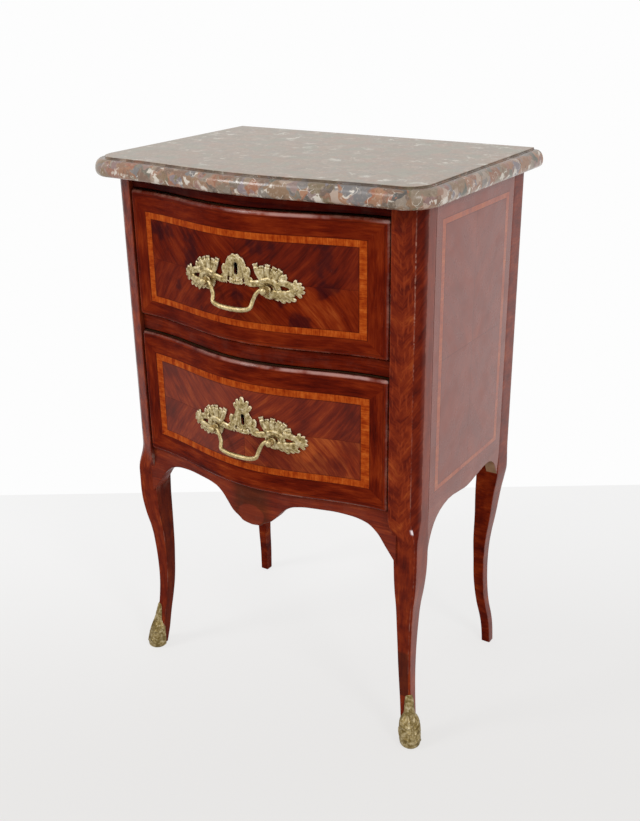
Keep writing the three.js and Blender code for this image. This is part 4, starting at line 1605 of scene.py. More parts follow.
def lines_mesh(name: str, strokes: Sequence[dict[str, Sequence]]) -> bpy.types.Mesh:
    """Makes the mesh of open lines that the rods are swept along.

    Args:
        name: The mesh's name.
        strokes: For each line its "points", and a "girth", "lift" and "flat" for each point.

    Returns:
        The mesh.
    """
    points: list[Vector] = []
    edges: list[tuple[int, int]] = []
    values: dict[str, list[float]] = {"girth": [], "lift": [], "flat": []}
    for stroke in strokes:
        start = len(points)
        points.extend(stroke["points"])
        edges.extend((at, at + 1) for at in range(start, len(points) - 1))
        for label, column in values.items():
            column.extend(stroke.get(label, [1.0] * len(stroke["points"])))
    mesh = bpy.data.meshes.new(name)
    mesh.from_pydata([point[:] for point in points], edges, [])
    for label, column in values.items():
        write_value(mesh, label, column)
    return mesh


# The commode's parts


@dataclass(frozen=True)
class MarbleTop:
    """The slab: bowed front, rounded corners, a sunk line round the top face and a full nose."""

    face_half: float = 0.228
    corner_across: float = 0.025
    corner_deep: float = 0.030
    corner_y: float = -0.10653
    bow: float = 0.0155
    quirk: float = 0.0024
    nose_reach: float = 0.011
    lip: float = 0.002
    nose_fullness: float = 0.8
    nose_sag: float = 1.25
    front_steps: int = 110
    corner_steps: int = 30
    side_steps: int = 60
    nose_steps: int = 34

    def ring(self, reach: float, z: float, back: float) -> list[Vector]:
        """The slab's outline at one height.

        Args:
            reach: How far it lies outside the top face's edge.
            z: Its height.
            back: Where the straight back edge lies.

        Returns:
            The outline's points.
        """
        corner_x = self.face_half - self.corner_across
        right = []
        for x in np.linspace(0.0, corner_x, self.front_steps, endpoint=False):
            swell = self.bow * (1 + math.cos(math.pi * x / corner_x)) / 2
            right.append((x, self.corner_y - self.corner_deep - swell - reach))
        for turn in np.linspace(0.0, math.pi / 2, self.corner_steps, endpoint=False):
            across = (self.corner_across + reach) * math.sin(turn)
            deep = (self.corner_deep + reach) * math.cos(turn)
            right.append((corner_x + across, self.corner_y - deep))
        side = self.face_half + reach
        right += [(side, y) for y in np.linspace(self.corner_y, back, self.side_steps, endpoint=False)]
        right += [(x, back) for x in np.linspace(side, 0.0, self.side_steps)]
        left = [(-x, y) for x, y in reversed(right[1:-1])]
        return [Vector((x, y, z)) for x, y in right + left]

    def build(self) -> bpy.types.Object:
        """Lofts the slab from its underside to its face.

        Returns:
            The slab's object.
        """
        low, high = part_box("marble_top")
        nose_height = high.z - self.quirk - low.z
        rings = []
        for turn in np.linspace(math.pi, 0.0, self.nose_steps):
            rise = ((1 + math.cos(turn)) / 2) ** self.nose_sag
            reach = self.lip + self.nose_reach * math.sin(turn) ** self.nose_fullness
            rings.append(self.ring(reach, low.z + nose_height * rise, high.y))
        sunk_line = ((self.lip * 0.4, 1.0), (0.0, 0.75), (0.0, 0.2), (-self.quirk * 0.15, 0.0))
        rings += [self.ring(reach, high.z - self.quirk * share, high.y) for reach, share in sunk_line]
        return Draft().skin(rings).build("marble_slab")


@dataclass(frozen=True)
class Leg:
    """A leg in one piece with its post, lofted smoothly through the rings of its solid."""

    LEVEL_REACH = 0.00002
    CORE_RADIUS = 0.002

    node: str
    corners: int
    arris_round: float = 0.0011
    levels: int = 150
    facet_steps: int = 5
    corner_steps: int = 4

    def stations(self) -> tuple[np.ndarray, np.ndarray]:
        """Reads the rings of the solid.

        Returns:
            The heights, and for each height the corners, from the inner back one and then clockwise.
        """
        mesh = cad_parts[self.node].data
        places = np.unique(np.round([vertex.co[:] for vertex in mesh.vertices], 6), axis=0)
        heights = np.unique(np.round(places[:, 2], 5))
        rings = []
        kept = []
        for height in heights:
            ring = places[np.abs(places[:, 2] - height) < self.LEVEL_REACH]
            middle = ring.mean(axis=0)
            far = np.hypot(*(ring - middle)[:, :2].T)
            ring = ring[far > self.CORE_RADIUS]
            if len(ring) != self.corners:
                continue
            turns = np.arctan2(ring[:, 1] - middle[1], ring[:, 0] - middle[0])
            ring = ring[np.argsort(-turns)]
            first = int(np.argmin(ring[:, 0] - ring[:, 1]))
            rings.append(np.roll(ring, -first, axis=0)[:, :2])
            kept.append(height)
        return np.array(kept), np.array(rings)

    def build(self, grow: float = 0.0) -> bpy.types.Object:
        """Lofts the right-hand leg.

        Args:
            grow: How much fatter it gets, for cutting its neighbours.

        Returns:
            The leg's object, with its grain and facets written on the mesh.
        """
        heights, rings = self.stations()
        levels = np.linspace(heights[0], heights[-1], self.levels)
        columns = [
            [through(heights, rings[:, corner, axis], levels) for axis in range(2)]
            for corner in range(self.corners)
        ]
        corners = np.array(columns).transpose(2, 0, 1)
        outwards = corners - corners.mean(axis=1, keepdims=True)
        corners = corners + outwards / np.linalg.norm(outwards, axis=2, keepdims=True) * grow
        points, facets, arrises = self._round(corners)
        skin = [[Vector((*place, z)) for place in ring] for ring, z in zip(points, levels)]
        leg = Draft().skin(skin).build(self.node + "_turned", math.radians(50))
        write_value(leg.data, "arris", np.tile(arrises, self.levels))
        self._write_grain(leg.data, corners, facets)
        return leg

    def _round(self, corners: np.ndarray) -> tuple[np.ndarray, list[int], list[float]]:
        """Rounds the corners of all rings at once.

        Args:
            corners: The corners of each ring.

        Returns:
            The rings' points, and for each point its facet and whether it lies on an arris.
        """
        points, facets, arrises = [], [], []
        for at in range(self.corners):
            after = corners[:, (at + 1) % self.corners]
            here, before = corners[:, at], corners[:, at - 1]
            back = (before - here) / np.linalg.norm(before - here, axis=1, keepdims=True)
            ahead = (after - here) / np.linalg.norm(after - here, axis=1, keepdims=True)
            start, end = here + back * self.arris_round, here + ahead * self.arris_round
            for share in np.linspace(0.0, 1.0, self.corner_steps + 1):
                points.append(start * (1 - share) ** 2 + here * 2 * share * (1 - share) + end * share**2)
                facets.append(at if share > 0.4 else (at - 1) % self.corners)
                arrises.append(1.0 - abs(share - 0.5))
            next_start = after - ahead * self.arris_round
            for share in np.linspace(0.0, 1.0, self.facet_steps + 1)[1:-1]:
                points.append(end * (1 - share) + next_start * share)
                facets.append(at)
                arrises.append(0.0)
        return np.stack(points, axis=1), facets, arrises

    def _write_grain(self, mesh: bpy.types.Mesh, corners: np.ndarray, facets: Sequence[int]) -> None:
        """Writes the facet of each face and the place of each of its corners on the grain.

        Args:
            mesh: The leg's mesh.
            corners: The corners of each ring.
            facets: The facet of each point of a ring.
        """
        count = len(facets)
        columns = [[vertex % count for vertex in polygon.vertices] for polygon in mesh.polygons]
        segment = [count - 1 if max(ring) - min(ring) > 1 else min(ring) for ring in columns]
        facet = np.array(facets)[segment]
        write_value(mesh, "facet", facet, "FACE")
        layer = mesh.uv_layers.new(name="grain")
        values = np.zeros((len(mesh.loops), 2), np.float32)
        places = np.array([vertex.co[:] for vertex in mesh.vertices])
        for polygon in mesh.polygons:
            side = int(facet[polygon.index])
            for loop in polygon.loop_indices:
                vertex = mesh.loops[loop].vertex_index
                level = vertex // count
                one, other = corners[level, side], corners[level, (side + 1) % self.corners]
                way = (other - one) / np.linalg.norm(other - one)
                across = np.dot(places[vertex][:2] - (one + other) / 2, way)
                values[loop] = (float(across), places[vertex][2])
        layer.data.foreach_set("uv", values.ravel())


def mirrored(piece: bpy.types.Object, name: str) -> bpy.types.Object:
    """Copies a piece to the other side of the commode.

    Args:
        piece: The right-hand piece.
        name: The copy's name.

    Returns:
        The left-hand piece.
    """
    mesh = piece.data.copy()
    mesh.transform(Matrix.Scale(-1, 4, (1, 0, 0)))
    mesh.flip_normals()
    return placed(name, mesh)


STROKE_STEP = 1.3 * MM
TIP_SHARE = 0.6
FLAT_SHARE = 0.62


@dataclass(frozen=True)
class Stroke:
    """One leaf, rib or scroll of a casting, in millimetres across and up from the keyhole."""

    path: tuple[tuple[float, float], ...]
    root: float
    tip: float
    lift: float = 0.4
    bulge: float = 1.0

    def line(self, side: int, height: float) -> dict[str, list]:
        """The stroke's line and its thickness along it.

        Args:
            side: 1 draws it as given, -1 mirrors it.
            height: The keyhole's height.

        Returns:
            What `lines_mesh` takes.
        """
        given = [Vector((side * across * MM, 0.0, height + up * MM)) for across, up in self.path]
        reach = sum((one - other).length for one, other in zip(given, given[1:]))
        points = path_through(given, max(8, int(reach / STROKE_STEP)))
        shares = np.linspace(0.0, 1.0, len(points))
        swell = 1 + (self.bulge - 1) * np.sin(np.pi * shares)
        girth = (self.root + (self.tip - self.root) * shares) * swell * MM
        girth[-1] *= TIP_SHARE
        return {
            "points": points,
            "girth": girth.tolist(),
            "lift": (girth * self.lift).tolist(),
            "flat": [FLAT_SHARE] * len(points),
        }


RIB_TIPS = ((26.8, 9.4), (35.0, 7.4), (43.4, 9.8), (52.2, 6.8), (59.8, 4.2), (66.4, -3.4))
LOWER_TIPS = ((57.0, -32.0), (64.0, -34.8), (70.5, -33.2), (77.0, -31.0))
LOWER_ROOT = -26.0
SPRIG_ROOT = (77.5, -19.0)
SPRIG_TIPS = ((76.5, -6.0), (83.0, -9.5), (86.6, -15.0), (87.2, -21.5), (83.0, -27.6))
BEADS = ((0.0, 0.6), (4.8, 0.6), (9.6, 0.2), (14.2, 0.9), (18.8, -0.9))
FINIAL = (
    Stroke(((0, 14), (-1, 23), (0, 30.2)), 4.2, 2.2, 0.6),
    Stroke(((1, 14), (6.5, 20), (8, 26)), 3.8, 2.2),
    Stroke(((4, 12), (10, 15), (13, 20)), 3.4, 2.2),
)
WEB_SHARES = (-0.5, -0.1, 0.24)
WEB_SINK = -0.15
RIB_END_SHARE = 0.7
BAIL_LIMB = ((0, 0, 0), (0.42, 0.25, 0.17), (0.8, 0.5, 0.5), (1, 1, 0.8))
BAIL_SAG = (0.67, 1.0, 0.95)
POST_NECK = ((1.0, 0.004), (0.86, 0.003), (0.86, 0.0022), (1.0, 0.0014), (1.0, 0.0))


def between(one: tuple[float, float], other: tuple[float, float], share: float) -> tuple[float, float]:
    """The place at a share of the way from one place to another."""
    return one[0] + (other[0] - one[0]) * share, one[1] + (other[1] - one[1]) * share


def wing() -> list[Stroke]:
    """The foliage on one side of a casting: a fan of ribs over the post, a scroll and a sprig.

    Returns:
        Its strokes, for the right-hand side.
    """
    strokes = [
        Stroke(((13, -13), (20, -15.5), (29, -14.5), (38, -14)), 4.0, 4.6, 0.3),
        Stroke(((38, -12), (35.5, -19), (39, -26), (46, -28.5), (53, -25)), 3.6, 3.8, 0.4),
        Stroke(((36, -11.5), (44, -9.5), (53, -12.5), (57, -20.5)), 3.6, 3.6, 0.8),
        Stroke(((38.5, -14), (45, -12.6), (50.6, -15.5), (52.4, -21.5)), 3.4, 3.4, 0.3),
        Stroke(((52, -20), (55, -22.5), (60, -23)), 4.6, 4.6, 0.2),
        Stroke(((46, -26), (56, -24.5), (66, -24), (76, -21)), 5.2, 4.6, 0.5),
        Stroke(((57, -10), (66, -11.5), (72, -14.0), (77, -18)), 4.4, 4.0, 0.6),
        Stroke(((75, -18), (79, -20)), 4.6, 4.4, 0.6),
    ]
    ribs = []
    for number, (across, up) in enumerate(RIB_TIPS):
        lean = number / len(RIB_TIPS)
        start = (38 + 18 * lean, -13.0 + 4.0 * lean)
        bend = ((start[0] + across) / 2 - 2.2 * (1 - lean), (start[1] + up) / 2 + 1.5 * lean)
        ribs.append((start, bend, (across, up)))
    for share in WEB_SHARES:
        across_ribs = tuple(between(bend, tip, share) for _, bend, tip in ribs)
        strokes.append(Stroke(across_ribs, 4.2, 3.6, WEB_SINK))
    for number, (start, bend, tip) in enumerate(ribs):
        odd = number % 2
        end = between(bend, tip, RIB_END_SHARE)
        strokes.append(Stroke((start, bend, end), 2.9, 3.2, 0.7 - 0.3 * odd))
        strokes.append(Stroke((end, tip), 3.1, 3.7 - 0.4 * odd, 0.5 - 0.2 * odd))
    for number, (across, up) in enumerate(LOWER_TIPS):
        start = (across - 7.5, LOWER_ROOT)
        bend = (across - 3.6, (up + LOWER_ROOT) / 2 - 1.2)
        strokes.append(Stroke((start, bend, (across, up)), 3.4, 2.2, 0.6 + 0.2 * (number % 2)))
    for across, up in SPRIG_TIPS:
        bend = ((SPRIG_ROOT[0] + across) / 2 - 0.8, (SPRIG_ROOT[1] + up) / 2 + 0.8)
        strokes.append(Stroke((SPRIG_ROOT, bend, (across, up)), 3.4, 2.0, 0.7))
    return strokes


def cartouche(width: float, height: float, foot: float) -> list[Stroke]:
    """The shell round a keyhole, drawn for its right half.

    Args:
        width: Half width of its rim.
        height: How far its rim rises over the keyhole's middle.
        foot: How much wider it is at the foot.

    Returns:
        Its strokes.
    """
    rim = ((width + foot, -12), (width * 0.88, -2), (width * 0.66, height * 0.62), (0, height))
    strokes = [
        Stroke(rim, 3.6, 2.8, 0.5),
        Stroke(((7.6, -10), (7.0, 0), (5.0, 7.6), (0, 10.0)), 2.1, 2.0, 0.8),
        Stroke(((width - 1, -10), (17.0, -6), (18.4, -1), (16.0, 3.5)), 3.4, 2.3, 0.6),
        Stroke(((width, -13), (18, -12.5), (22, -9)), 3.4, 2.4, 0.4),
        Stroke(((6, -12), (7, -15), (0, -16)), 3.2, 3.0, 0.5),
    ]
    for number, turn_degrees in enumerate(range(6, 91, 14)):
        turn = math.radians(turn_degrees)
        reach = 2.8 if number % 2 else 1.2
        start = (math.cos(turn) * width * 0.66, math.sin(turn) * height * 0.72)
        end = (math.cos(turn) * (width * 0.86 + reach), math.sin(turn) * (height + reach))
        strokes.append(Stroke((start, end), 2.4, 2.2, 0.8))
    strokes += [Stroke(((x, -16.6 - drop), (x + 0.4, -17 - drop)), 2.4, 2.4, 0.9) for x, drop in BEADS]
    return strokes


@dataclass(frozen=True)
class Drawer:
    """A drawer with its veneered front, casting, bail, posts and lock."""

    name: str
    body: Body
    bail_body: Body
    face: FramedVeneer
    rim_width: float
    rim_height: float
    rim_foot: float
    has_finial: bool
    rim: float = 0.005
    post_across: float = 0.044
    post_drop: float = 0.020
    key_half: float = 0.0028
    key_rise: float = 0.0047
    key_sides: int = 40
    head_radius: float = 0.0046
    shank_radius: float = 0.002
    pin_radius: float = 0.0019
    grip_radius: float = 0.0031
    bail_foot: float = 0.027
    bail_bulge: float = 0.007
    bail_drop: float = 0.026
    bail_fullness: float = 0.3
    bail_steps: int = 150
    bail_crest: float = 0.6
    post_crest: float = 0.62
    groove: float = 0.3
    pivot_reach: float = 0.010
    head_stand: float = 0.003
    board_thickness: float = 0.020
    backing_thickness: float = 0.0018
    backing_half_width: float = 0.0148
    backing_half_height: float = 0.013
    backing_drop: float = 0.001
    backing_sides: int = 64
    voxel: float = 0.00062

    def node(self, part: str) -> str:
        """The name of one of the drawer's nodes."""
        return f"{self.name}_{part}"

    @property
    def key_height(self) -> float:
        """The height of the keyhole's middle, over the bail's pivots."""
        return self.pivot_height + self.post_drop

    @property
    def pivot_height(self) -> float:
        """The height of the bail's pivots."""
        low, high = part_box(self.node("bail_post_right"))
        return (low.z + high.z) / 2

    @property
    def pivot_plane(self) -> float:
        """The Y of the bail's pivots."""
        return BOW.at(self.post_across) - self.pivot_reach

    @property
    def head_seat(self) -> float:
        """The Y in the casting on which the heads of the posts rest."""
        return BOW.at(self.post_across - self.head_radius) - self.head_stand

    def key_outline(self, grow: float) -> list[tuple[float, float]]:
        """The keyhole's outline, a slot with round ends.

        Args:
            grow: How far it lies outside the real one.

        Returns:
            The outline's places in X and Z.
        """
        half = self.key_half + grow
        outline = []
        for turn in round_turn(self.key_sides):
            rise = self.key_rise if math.sin(turn) >= 0 else -self.key_rise
            outline.append((half * math.cos(turn), self.key_height + rise + half * math.sin(turn)))
        return outline

    def rod(self, side: Side, radius: float, *ends: float) -> Draft:
        """A cutter along Y that leaves a small gap round one of the bail's posts."""
        profile = [(radius + SEAT_GAP, y) for y in ends]
        return Draft().turned(profile, side.value * self.post_across, self.pivot_height, BORE_SIDES)

    def build_front(self, trees: Trees) -> None:
        """Builds the front with its rounded rim, keyhole, bores and room for the lock.

        Args:
            trees: The geometry trees.
        """
        low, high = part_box(self.node("drawer_front"))
        sizes = {"Thickness": self.board_thickness, "Rim": self.rim, "Columns": 221, "Rows": 91}
        board = serpentine(self.node("front_board"), trees, (low, high), sizes, self.face)
        case_low, case_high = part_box(self.node("lock_case"))
        bolt_low, bolt_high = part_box(self.node("lock_bolt"))
        front, back = low.y - CUT_OVERRUN, case_high.y + CUT_OVERRUN
        cut(board, room(case_low, (case_high.x, back, case_high.z)))
        slot_low = (bolt_low.x, bolt_low.y, case_high.z)
        cut(board, room(slot_low, (bolt_high.x, back, high.z + CUT_OVERRUN)))
        cut(board, Draft().carried(self.key_outline(SEAT_GAP), front, case_low.y))
        for side in Side:
            cut(board, self.rod(side, self.shank_radius, front, high.y + CUT_OVERRUN))
        seat(board, self.body, [self.node("drawer_front")])

    def build_casting(self, trees: Trees) -> None:
        """Builds the gilt casting from its strokes and cuts the keyhole and the posts' bores.

        Args:
            trees: The geometry trees.
        """
        strokes = [(stroke, side.value) for stroke in wing() for side in Side]
        middle = cartouche(self.rim_width, self.rim_height, self.rim_foot)
        middle += list(FINIAL) if self.has_finial else []
        strokes += [(stroke, side.value) for stroke in middle for side in Side]
        lines = [stroke.line(side, self.key_height) for stroke, side in strokes]
        gilt = GiltBronze("gilt_mount", depth=0.75, soot=0.12, patina=0.8)
        inputs = {**BOW.inputs, "Sides": ROD_SIDES, "Groove": self.groove, "Gap": SEAT_GAP}
        inputs["Material"] = gilt.material()
        casting = grown(self.node("casting"), trees.relief, inputs, lines_mesh("lines", lines))
        join(casting, self.backing())
        melt(casting, self.voxel)
        low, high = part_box(self.node("mount"))
        front, back = low.y - CUT_OVERRUN, high.y + CUT_OVERRUN
        cut(casting, Draft().carried(self.key_outline(0.0), front, back))
        for side in Side:
            cut(casting, self.rod(side, self.head_radius, front, self.head_seat))
            cut(casting, self.rod(side, self.shank_radius, front, back))
        crests(casting.data)
        seat(casting, self.body, [self.node("mount")], gilt)

    def backing(self) -> bpy.types.Object:
        """The thin plate behind the keyhole's shell.

        Returns:
            The plate.
        """
        middle = self.key_height - self.backing_drop
        rings = []
        for front in (self.backing_thickness, SEAT_GAP):
            ring = []
            for turn in round_turn(self.backing_sides):
                x = self.backing_half_width * math.cos(turn)
                up = self.backing_half_height * math.sin(turn)
                ring.append(Vector((x, BOW.at(x) - front, middle + up)))
            rings.append(ring)
        return Draft().skin(rings).build("backing")

    def build_bail(self, trees: Trees) -> None:
        """Builds the swinging bail and its two posts.

        Args:
            trees: The geometry trees.
        """
        inside = self.post_across - self.head_radius - self.pin_radius
        right = [(self.post_across, 0.0, 0.0), (inside + self.pin_radius, 0.0, 0.0)]
        right += [(inside - (inside - self.bail_foot) * lean, *place) for lean, *place in BAIL_LIMB]
        right += [(self.bail_foot * BAIL_SAG[0], *BAIL_SAG[1:])]
        whole = right + [(0.0, 1.0, 1.0)] + [(-x, *place) for x, *place in reversed(right)]
        pivot_y, pivot_z = self.pivot_plane, self.pivot_height
        path = [
            Vector((x, pivot_y - forward * self.bail_bulge, pivot_z - down * self.bail_drop))
            for x, forward, down in whole
        ]
        points = path_through(path, self.bail_steps)
        swell = self.grip_radius - self.pin_radius
        shares = [max(0.0, 1 - abs(point.x) / inside) for point in points]
        girth = [self.pin_radius + swell * share**self.bail_fullness for share in shares]
        gilt = GiltBronze("gilt_bail", patina=0.45, soot=0.15)
        inputs = {"Sides": ROD_SIDES, "Material": gilt.material()}
        lines = lines_mesh("bail_line", [{"points": points, "girth": girth}])
        bail = grown(self.node("bail_rod"), trees.swept, inputs, lines)
        write_value(bail.data, "crest", [self.bail_crest] * len(bail.data.vertices))
        seat(bail, self.bail_body, [self.node("bail")], gilt)
        for side in Side:
            self.build_post(side, gilt)

    def build_post(self, side: Side, gilt: GiltBronze) -> None:
        """Builds one turned post, drilled for the bail's pin.

        Args:
            side: The side that it stands on.
            gilt: Its finish.
        """
        node = self.node(f"bail_post_{side.word}")
        low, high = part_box(node)
        head = self.head_radius
        back = self.head_seat - SEAT_GAP
        turns = np.linspace(0.15, 1.55, 9)
        profile = [(head * math.sin(turn), low.y + head * 0.8 * (1 - math.cos(turn))) for turn in turns]
        profile += [(head * share, back - reach) for share, reach in POST_NECK]
        profile += [(self.shank_radius, back), (self.shank_radius, high.y)]
        x = side.value * self.post_across
        post = Draft().turned(profile, x, self.pivot_height, 32).build(self.node(f"post_{side.word}"))
        radius = self.pin_radius + SEAT_GAP
        bore = [
            (self.pivot_plane + radius * math.cos(turn), self.pivot_height + radius * math.sin(turn))
            for turn in round_turn(BORE_SIDES)
        ]
        ends = (x - side.value * CUT_OVERRUN, x + side.value * radius)
        cut(post, Draft().skin([[Vector((end, *place)) for place in bore] for end in ends]))
        write_value(post.data, "crest", [self.post_crest] * len(post.data.vertices))
        seat(post, self.body, [node], gilt)

    def build(self, trees: Trees) -> None:
        """Builds the whole drawer.

        Args:
            trees: The geometry trees.
        """
        self.build_front(trees)
        self.build_casting(trees)
        self.build_bail(trees)
        sides = Oak("oak_drawer_side", along=1)
        across = Oak("oak_drawer_across", along=0)
        for side in Side:
            dress(self.node(f"drawer_side_{side.word}"), sides)
            dress(self.node(f"post_nut_{side.word}"), GiltBronze("dull_bronze"), 0.0003)
        dress(self.node("drawer_back"), across)
        dress(self.node("drawer_bottom"), across)
        dress(self.node("lock_case"), Iron("aged_iron"), 0.0004)
        dress(self.node("lock_bolt"), Iron("aged_iron"), 0.0003)


def serpentine(
    name: str, trees: Trees, bounds: tuple[Vector, Vector], sizes: dict[str, float], finish: Finish
) -> bpy.types.Object:
    """Builds a board on the serpentine line.

    Args:
        name: The object's name.
        trees: The geometry trees.
        bounds: The low and the high corner of its solid.
        sizes: Its other sizes, by the names of the tree's inputs.
        finish: Its finish.

    Returns:
        The board.
    """
    low, high = bounds
    reach = {"Half width": high.x, "Low": low.z, "High": high.z}
    inputs = {**BOW.inputs, **reach, **sizes, "Material": finish.material()}
    return grown(name, trees.board, inputs, bpy.data.meshes.new(name))


def join(piece: bpy.types.Object, other: bpy.types.Object) -> None:
    """Moves another object's mesh into a piece.

    Args:
        piece: The object that grows.
        other: The object that is taken up.
    """
    shell = bmesh.new()
    shell.from_mesh(piece.data)
    shell.from_mesh(other.data)
    shell.to_mesh(piece.data)
    shell.free()
    bpy.data.objects.remove(other)


def melt(piece: bpy.types.Object, voxel: float) -> None:
    """Melts overlapping shapes into one even skin.

    Args:
        piece: The object.
        voxel: The size of the skin's faces.
    """
    skin = piece.modifiers.new("skin", "REMESH")
    skin.mode = "VOXEL"
    skin.voxel_size = voxel
    ease = piece.modifiers.new("ease", "SMOOTH")
    ease.factor = 0.5
    ease.iterations = EASE_ROUNDS
    settled(piece, math.radians(180))


@dataclass(frozen=True)
class Apron:
    """The shaped apron under the drawers, cut to the legs."""

    thickness: float = 0.022
    drop: float = 0.055
    half_width: float = 0.1955
    soft: float = 0.0015
    columns: int = 240
    rows: int = 14
    shares: tuple[tuple[float, float], ...] = (
        (0.0, 1.0),
        (0.075, 0.963),
        (0.096, 0.907),
        (0.16, 0.785),
        (0.213, 0.589),
        (0.267, 0.411),
        (0.33, 0.308),
        (0.427, 0.27),
        (0.57, 0.272),
        (0.72, 0.318),
        (0.827, 0.42),
        (0.907, 0.636),
        (0.965, 0.916),
        (1.045, 1.29),
    )

    def build(self, leg_cutters: Sequence[bpy.types.Object]) -> bpy.types.Object:
        """Builds the apron and cuts it where it meets the legs.

        Args:
            leg_cutters: Slightly fat copies of the front legs.

        Returns:
            The apron.
        """
        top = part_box("front_apron")[1].z
        places, drops = (np.array(column) for column in zip(*self.shares))
        across = np.linspace(-self.half_width, self.half_width, self.columns)
        shares = np.minimum(abs(across) / BOW.half_opening, places[-1])
        lows = top - self.drop * through(places, drops, shares)
        rings = []
        for x, low in zip(across, lows):
            front = BOW.at(x, RAIL_SETBACK)
            back = front + self.thickness
            heights = np.linspace(low + self.soft, top, self.rows)
            ring = [(front, z) for z in heights] + [(back, z) for z in reversed(heights)]
            ring += [(back - self.soft, low), (front + self.soft, low)]
            rings.append([Vector((x, *place)) for place in ring])
        apron = Draft().skin(rings).build("front_apron_board", math.radians(40))
        for cutter in leg_cutters:
            cut(apron, cutter)
        return apron


MIDDLE_RIB = (((0, 0.12), (0, 0.4), (0, 0.7), (0, 0.96)), 2.4, 1.4)
SIDE_RIBS = (
    (((18, 0.5), (42, 0.62), (58, 0.7)), 2.0, 1.0),
    (((12, 0.6), (36, 0.74), (50, 0.83)), 1.9, 0.9),
    (((8, 0.72), (30, 0.86), (44, 0.93)), 1.7, 0.8),
    (((20, 0.4), (55, 0.47), (82, 0.52)), 2.2, 1.1),
    (((16, 0.3), (62, 0.4), (95, 0.34), (86, 0.2), (60, 0.24)), 2.2, 1.6),
    (((12, 0.12), (40, 0.2), (66, 0.1), (96, 0.06)), 2.3, 1.6),
    (((6, 0.2), (24, 0.32), (40, 0.3)), 1.8, 1.2),
)
COLLAR = (((-80, 0.43), (-30, 0.41), (30, 0.41), (80, 0.43)), 1.9, 1.9)


@dataclass(frozen=True)
class Shoe:
    """A gilt shoe: a leafy shell round the foot of a front leg."""

    OUTWARDS = Vector((1, -1, 0)).normalized()
    SIDEWAYS = Vector((1, 1, 0)).normalized()

    foot: Vertex
    height: float = 0.075
    width: float = 0.029
    advance: float = 0.006
    heel: float = 0.008
    rib_sink: float = 0.0007
    rib_share: float = 0.92
    rib_steps: int = 26
    sides: int = 72
    levels: int = 60
    voxel: float = 0.0006
    shares: tuple[tuple[float, float, float, float], ...] = (
        (0.0, -0.06, 0.38, 0.36),
        (0.04, -0.07, 0.48, 0.46),
        (0.15, -0.1, 0.5, 0.5),
        (0.3, -0.16, 0.47, 0.5),
        (0.42, -0.22, 0.43, 0.48),
        (0.51, -0.26, 0.37, 0.42),
        (0.57, -0.28, 0.29, 0.32),
        (0.63, -0.28, 0.24, 0.25),
        (0.82, -0.33, 0.19, 0.22),
        (0.95, -0.38, 0.14, 0.16),
        (1.0, -0.4, 0.08, 0.08),
    )

    def point(self, turn: float, share: float, proud: float = 0.0) -> Vector:
        """A point on the shoe's skin.

        Args:
            turn: Angle from the toe's direction, towards the side of the case.
            share: Height as a share of the shoe's height.
            proud: How far it stands out of the skin.

        Returns:
            The point.
        """
        heights, along, depth, width = (np.array(column) for column in zip(*self.shares))
        at = np.array([share])
        middle, deep, wide = (float(through(heights, column, at)[0]) for column in (along, depth, width))
        origin = Vector((self.foot[0], self.foot[1], share * self.height))
        ahead = (middle + deep * math.cos(turn)) * self.width + proud * math.cos(turn) + self.advance
        aside = wide * math.sin(turn) * self.width + proud * math.sin(turn)
        return origin + self.OUTWARDS * ahead + self.SIDEWAYS * aside

    def heel_cutter(self) -> Draft:
        """What lies behind the shoe, where the foot stays bare.

        Returns:
            The cutter.
        """
        edge = Vector((self.foot[0], self.foot[1], 0)) - self.OUTWARDS * self.heel
        corners = [
            edge + (self.OUTWARDS * back + self.SIDEWAYS * aside) * self.height
            for back, aside in ((0, -1), (0, 1), (-1, 1), (-1, -1))
        ]
        lift = Vector((0, 0, self.height))
        rings = [[corner + lift * level for corner in corners] for level in (-1, 2)]
        return Draft().skin(rings)

    def strokes(self) -> list[dict[str, list]]:
        """The leaf's ribs, its collar and the scrolls at its foot.

        Returns:
            What `lines_mesh` takes.
        """
        ribs = [MIDDLE_RIB]
        for side in (-1, 1):
            for path, root, tip in SIDE_RIBS:
                ribs.append(([(side * turn, share) for turn, share in path], root, tip))
        ribs.append(COLLAR)
        lines = []
        for path, root, tip in ribs:
            given = [self.point(math.radians(turn), share, -self.rib_sink) for turn, share in path]
            points = path_through(given, self.rib_steps)
            girth = np.linspace(root, tip, len(points)) * MM * self.rib_share
            lines.append({"points": points, "girth": girth.tolist()})
        return lines

    def build(self, trees: Trees, leg_cutter: bpy.types.Object, gilt: GiltBronze) -> bpy.types.Object:
        """Builds the right-hand shoe.

        Args:
            trees: The geometry trees.
            leg_cutter: A slightly fat copy of the leg.
            gilt: Its finish.

        Returns:
            The shoe.
        """
        turns = round_turn(self.sides)
        shares = np.linspace(0.0, 1.0, self.levels)
        rings = [[self.point(turn, share) for turn in turns] for share in shares]
        shell = Draft().skin(rings).build("shoe_shell")
        inputs = {"Sides": 14, "Material": gilt.material()}
        leaves = grown("shoe_right_leaf", trees.swept, inputs, lines_mesh("shoe_lines", self.strokes()))
        join(leaves, shell)
        melt(leaves, self.voxel)
        cut(leaves, leg_cutter)
        cut(leaves, Draft().box((0.1, -0.3, -0.1), (0.4, 0.1, 0.0)))
        cut(leaves, self.heel_cutter())
        crests(leaves.data)
        return leaves


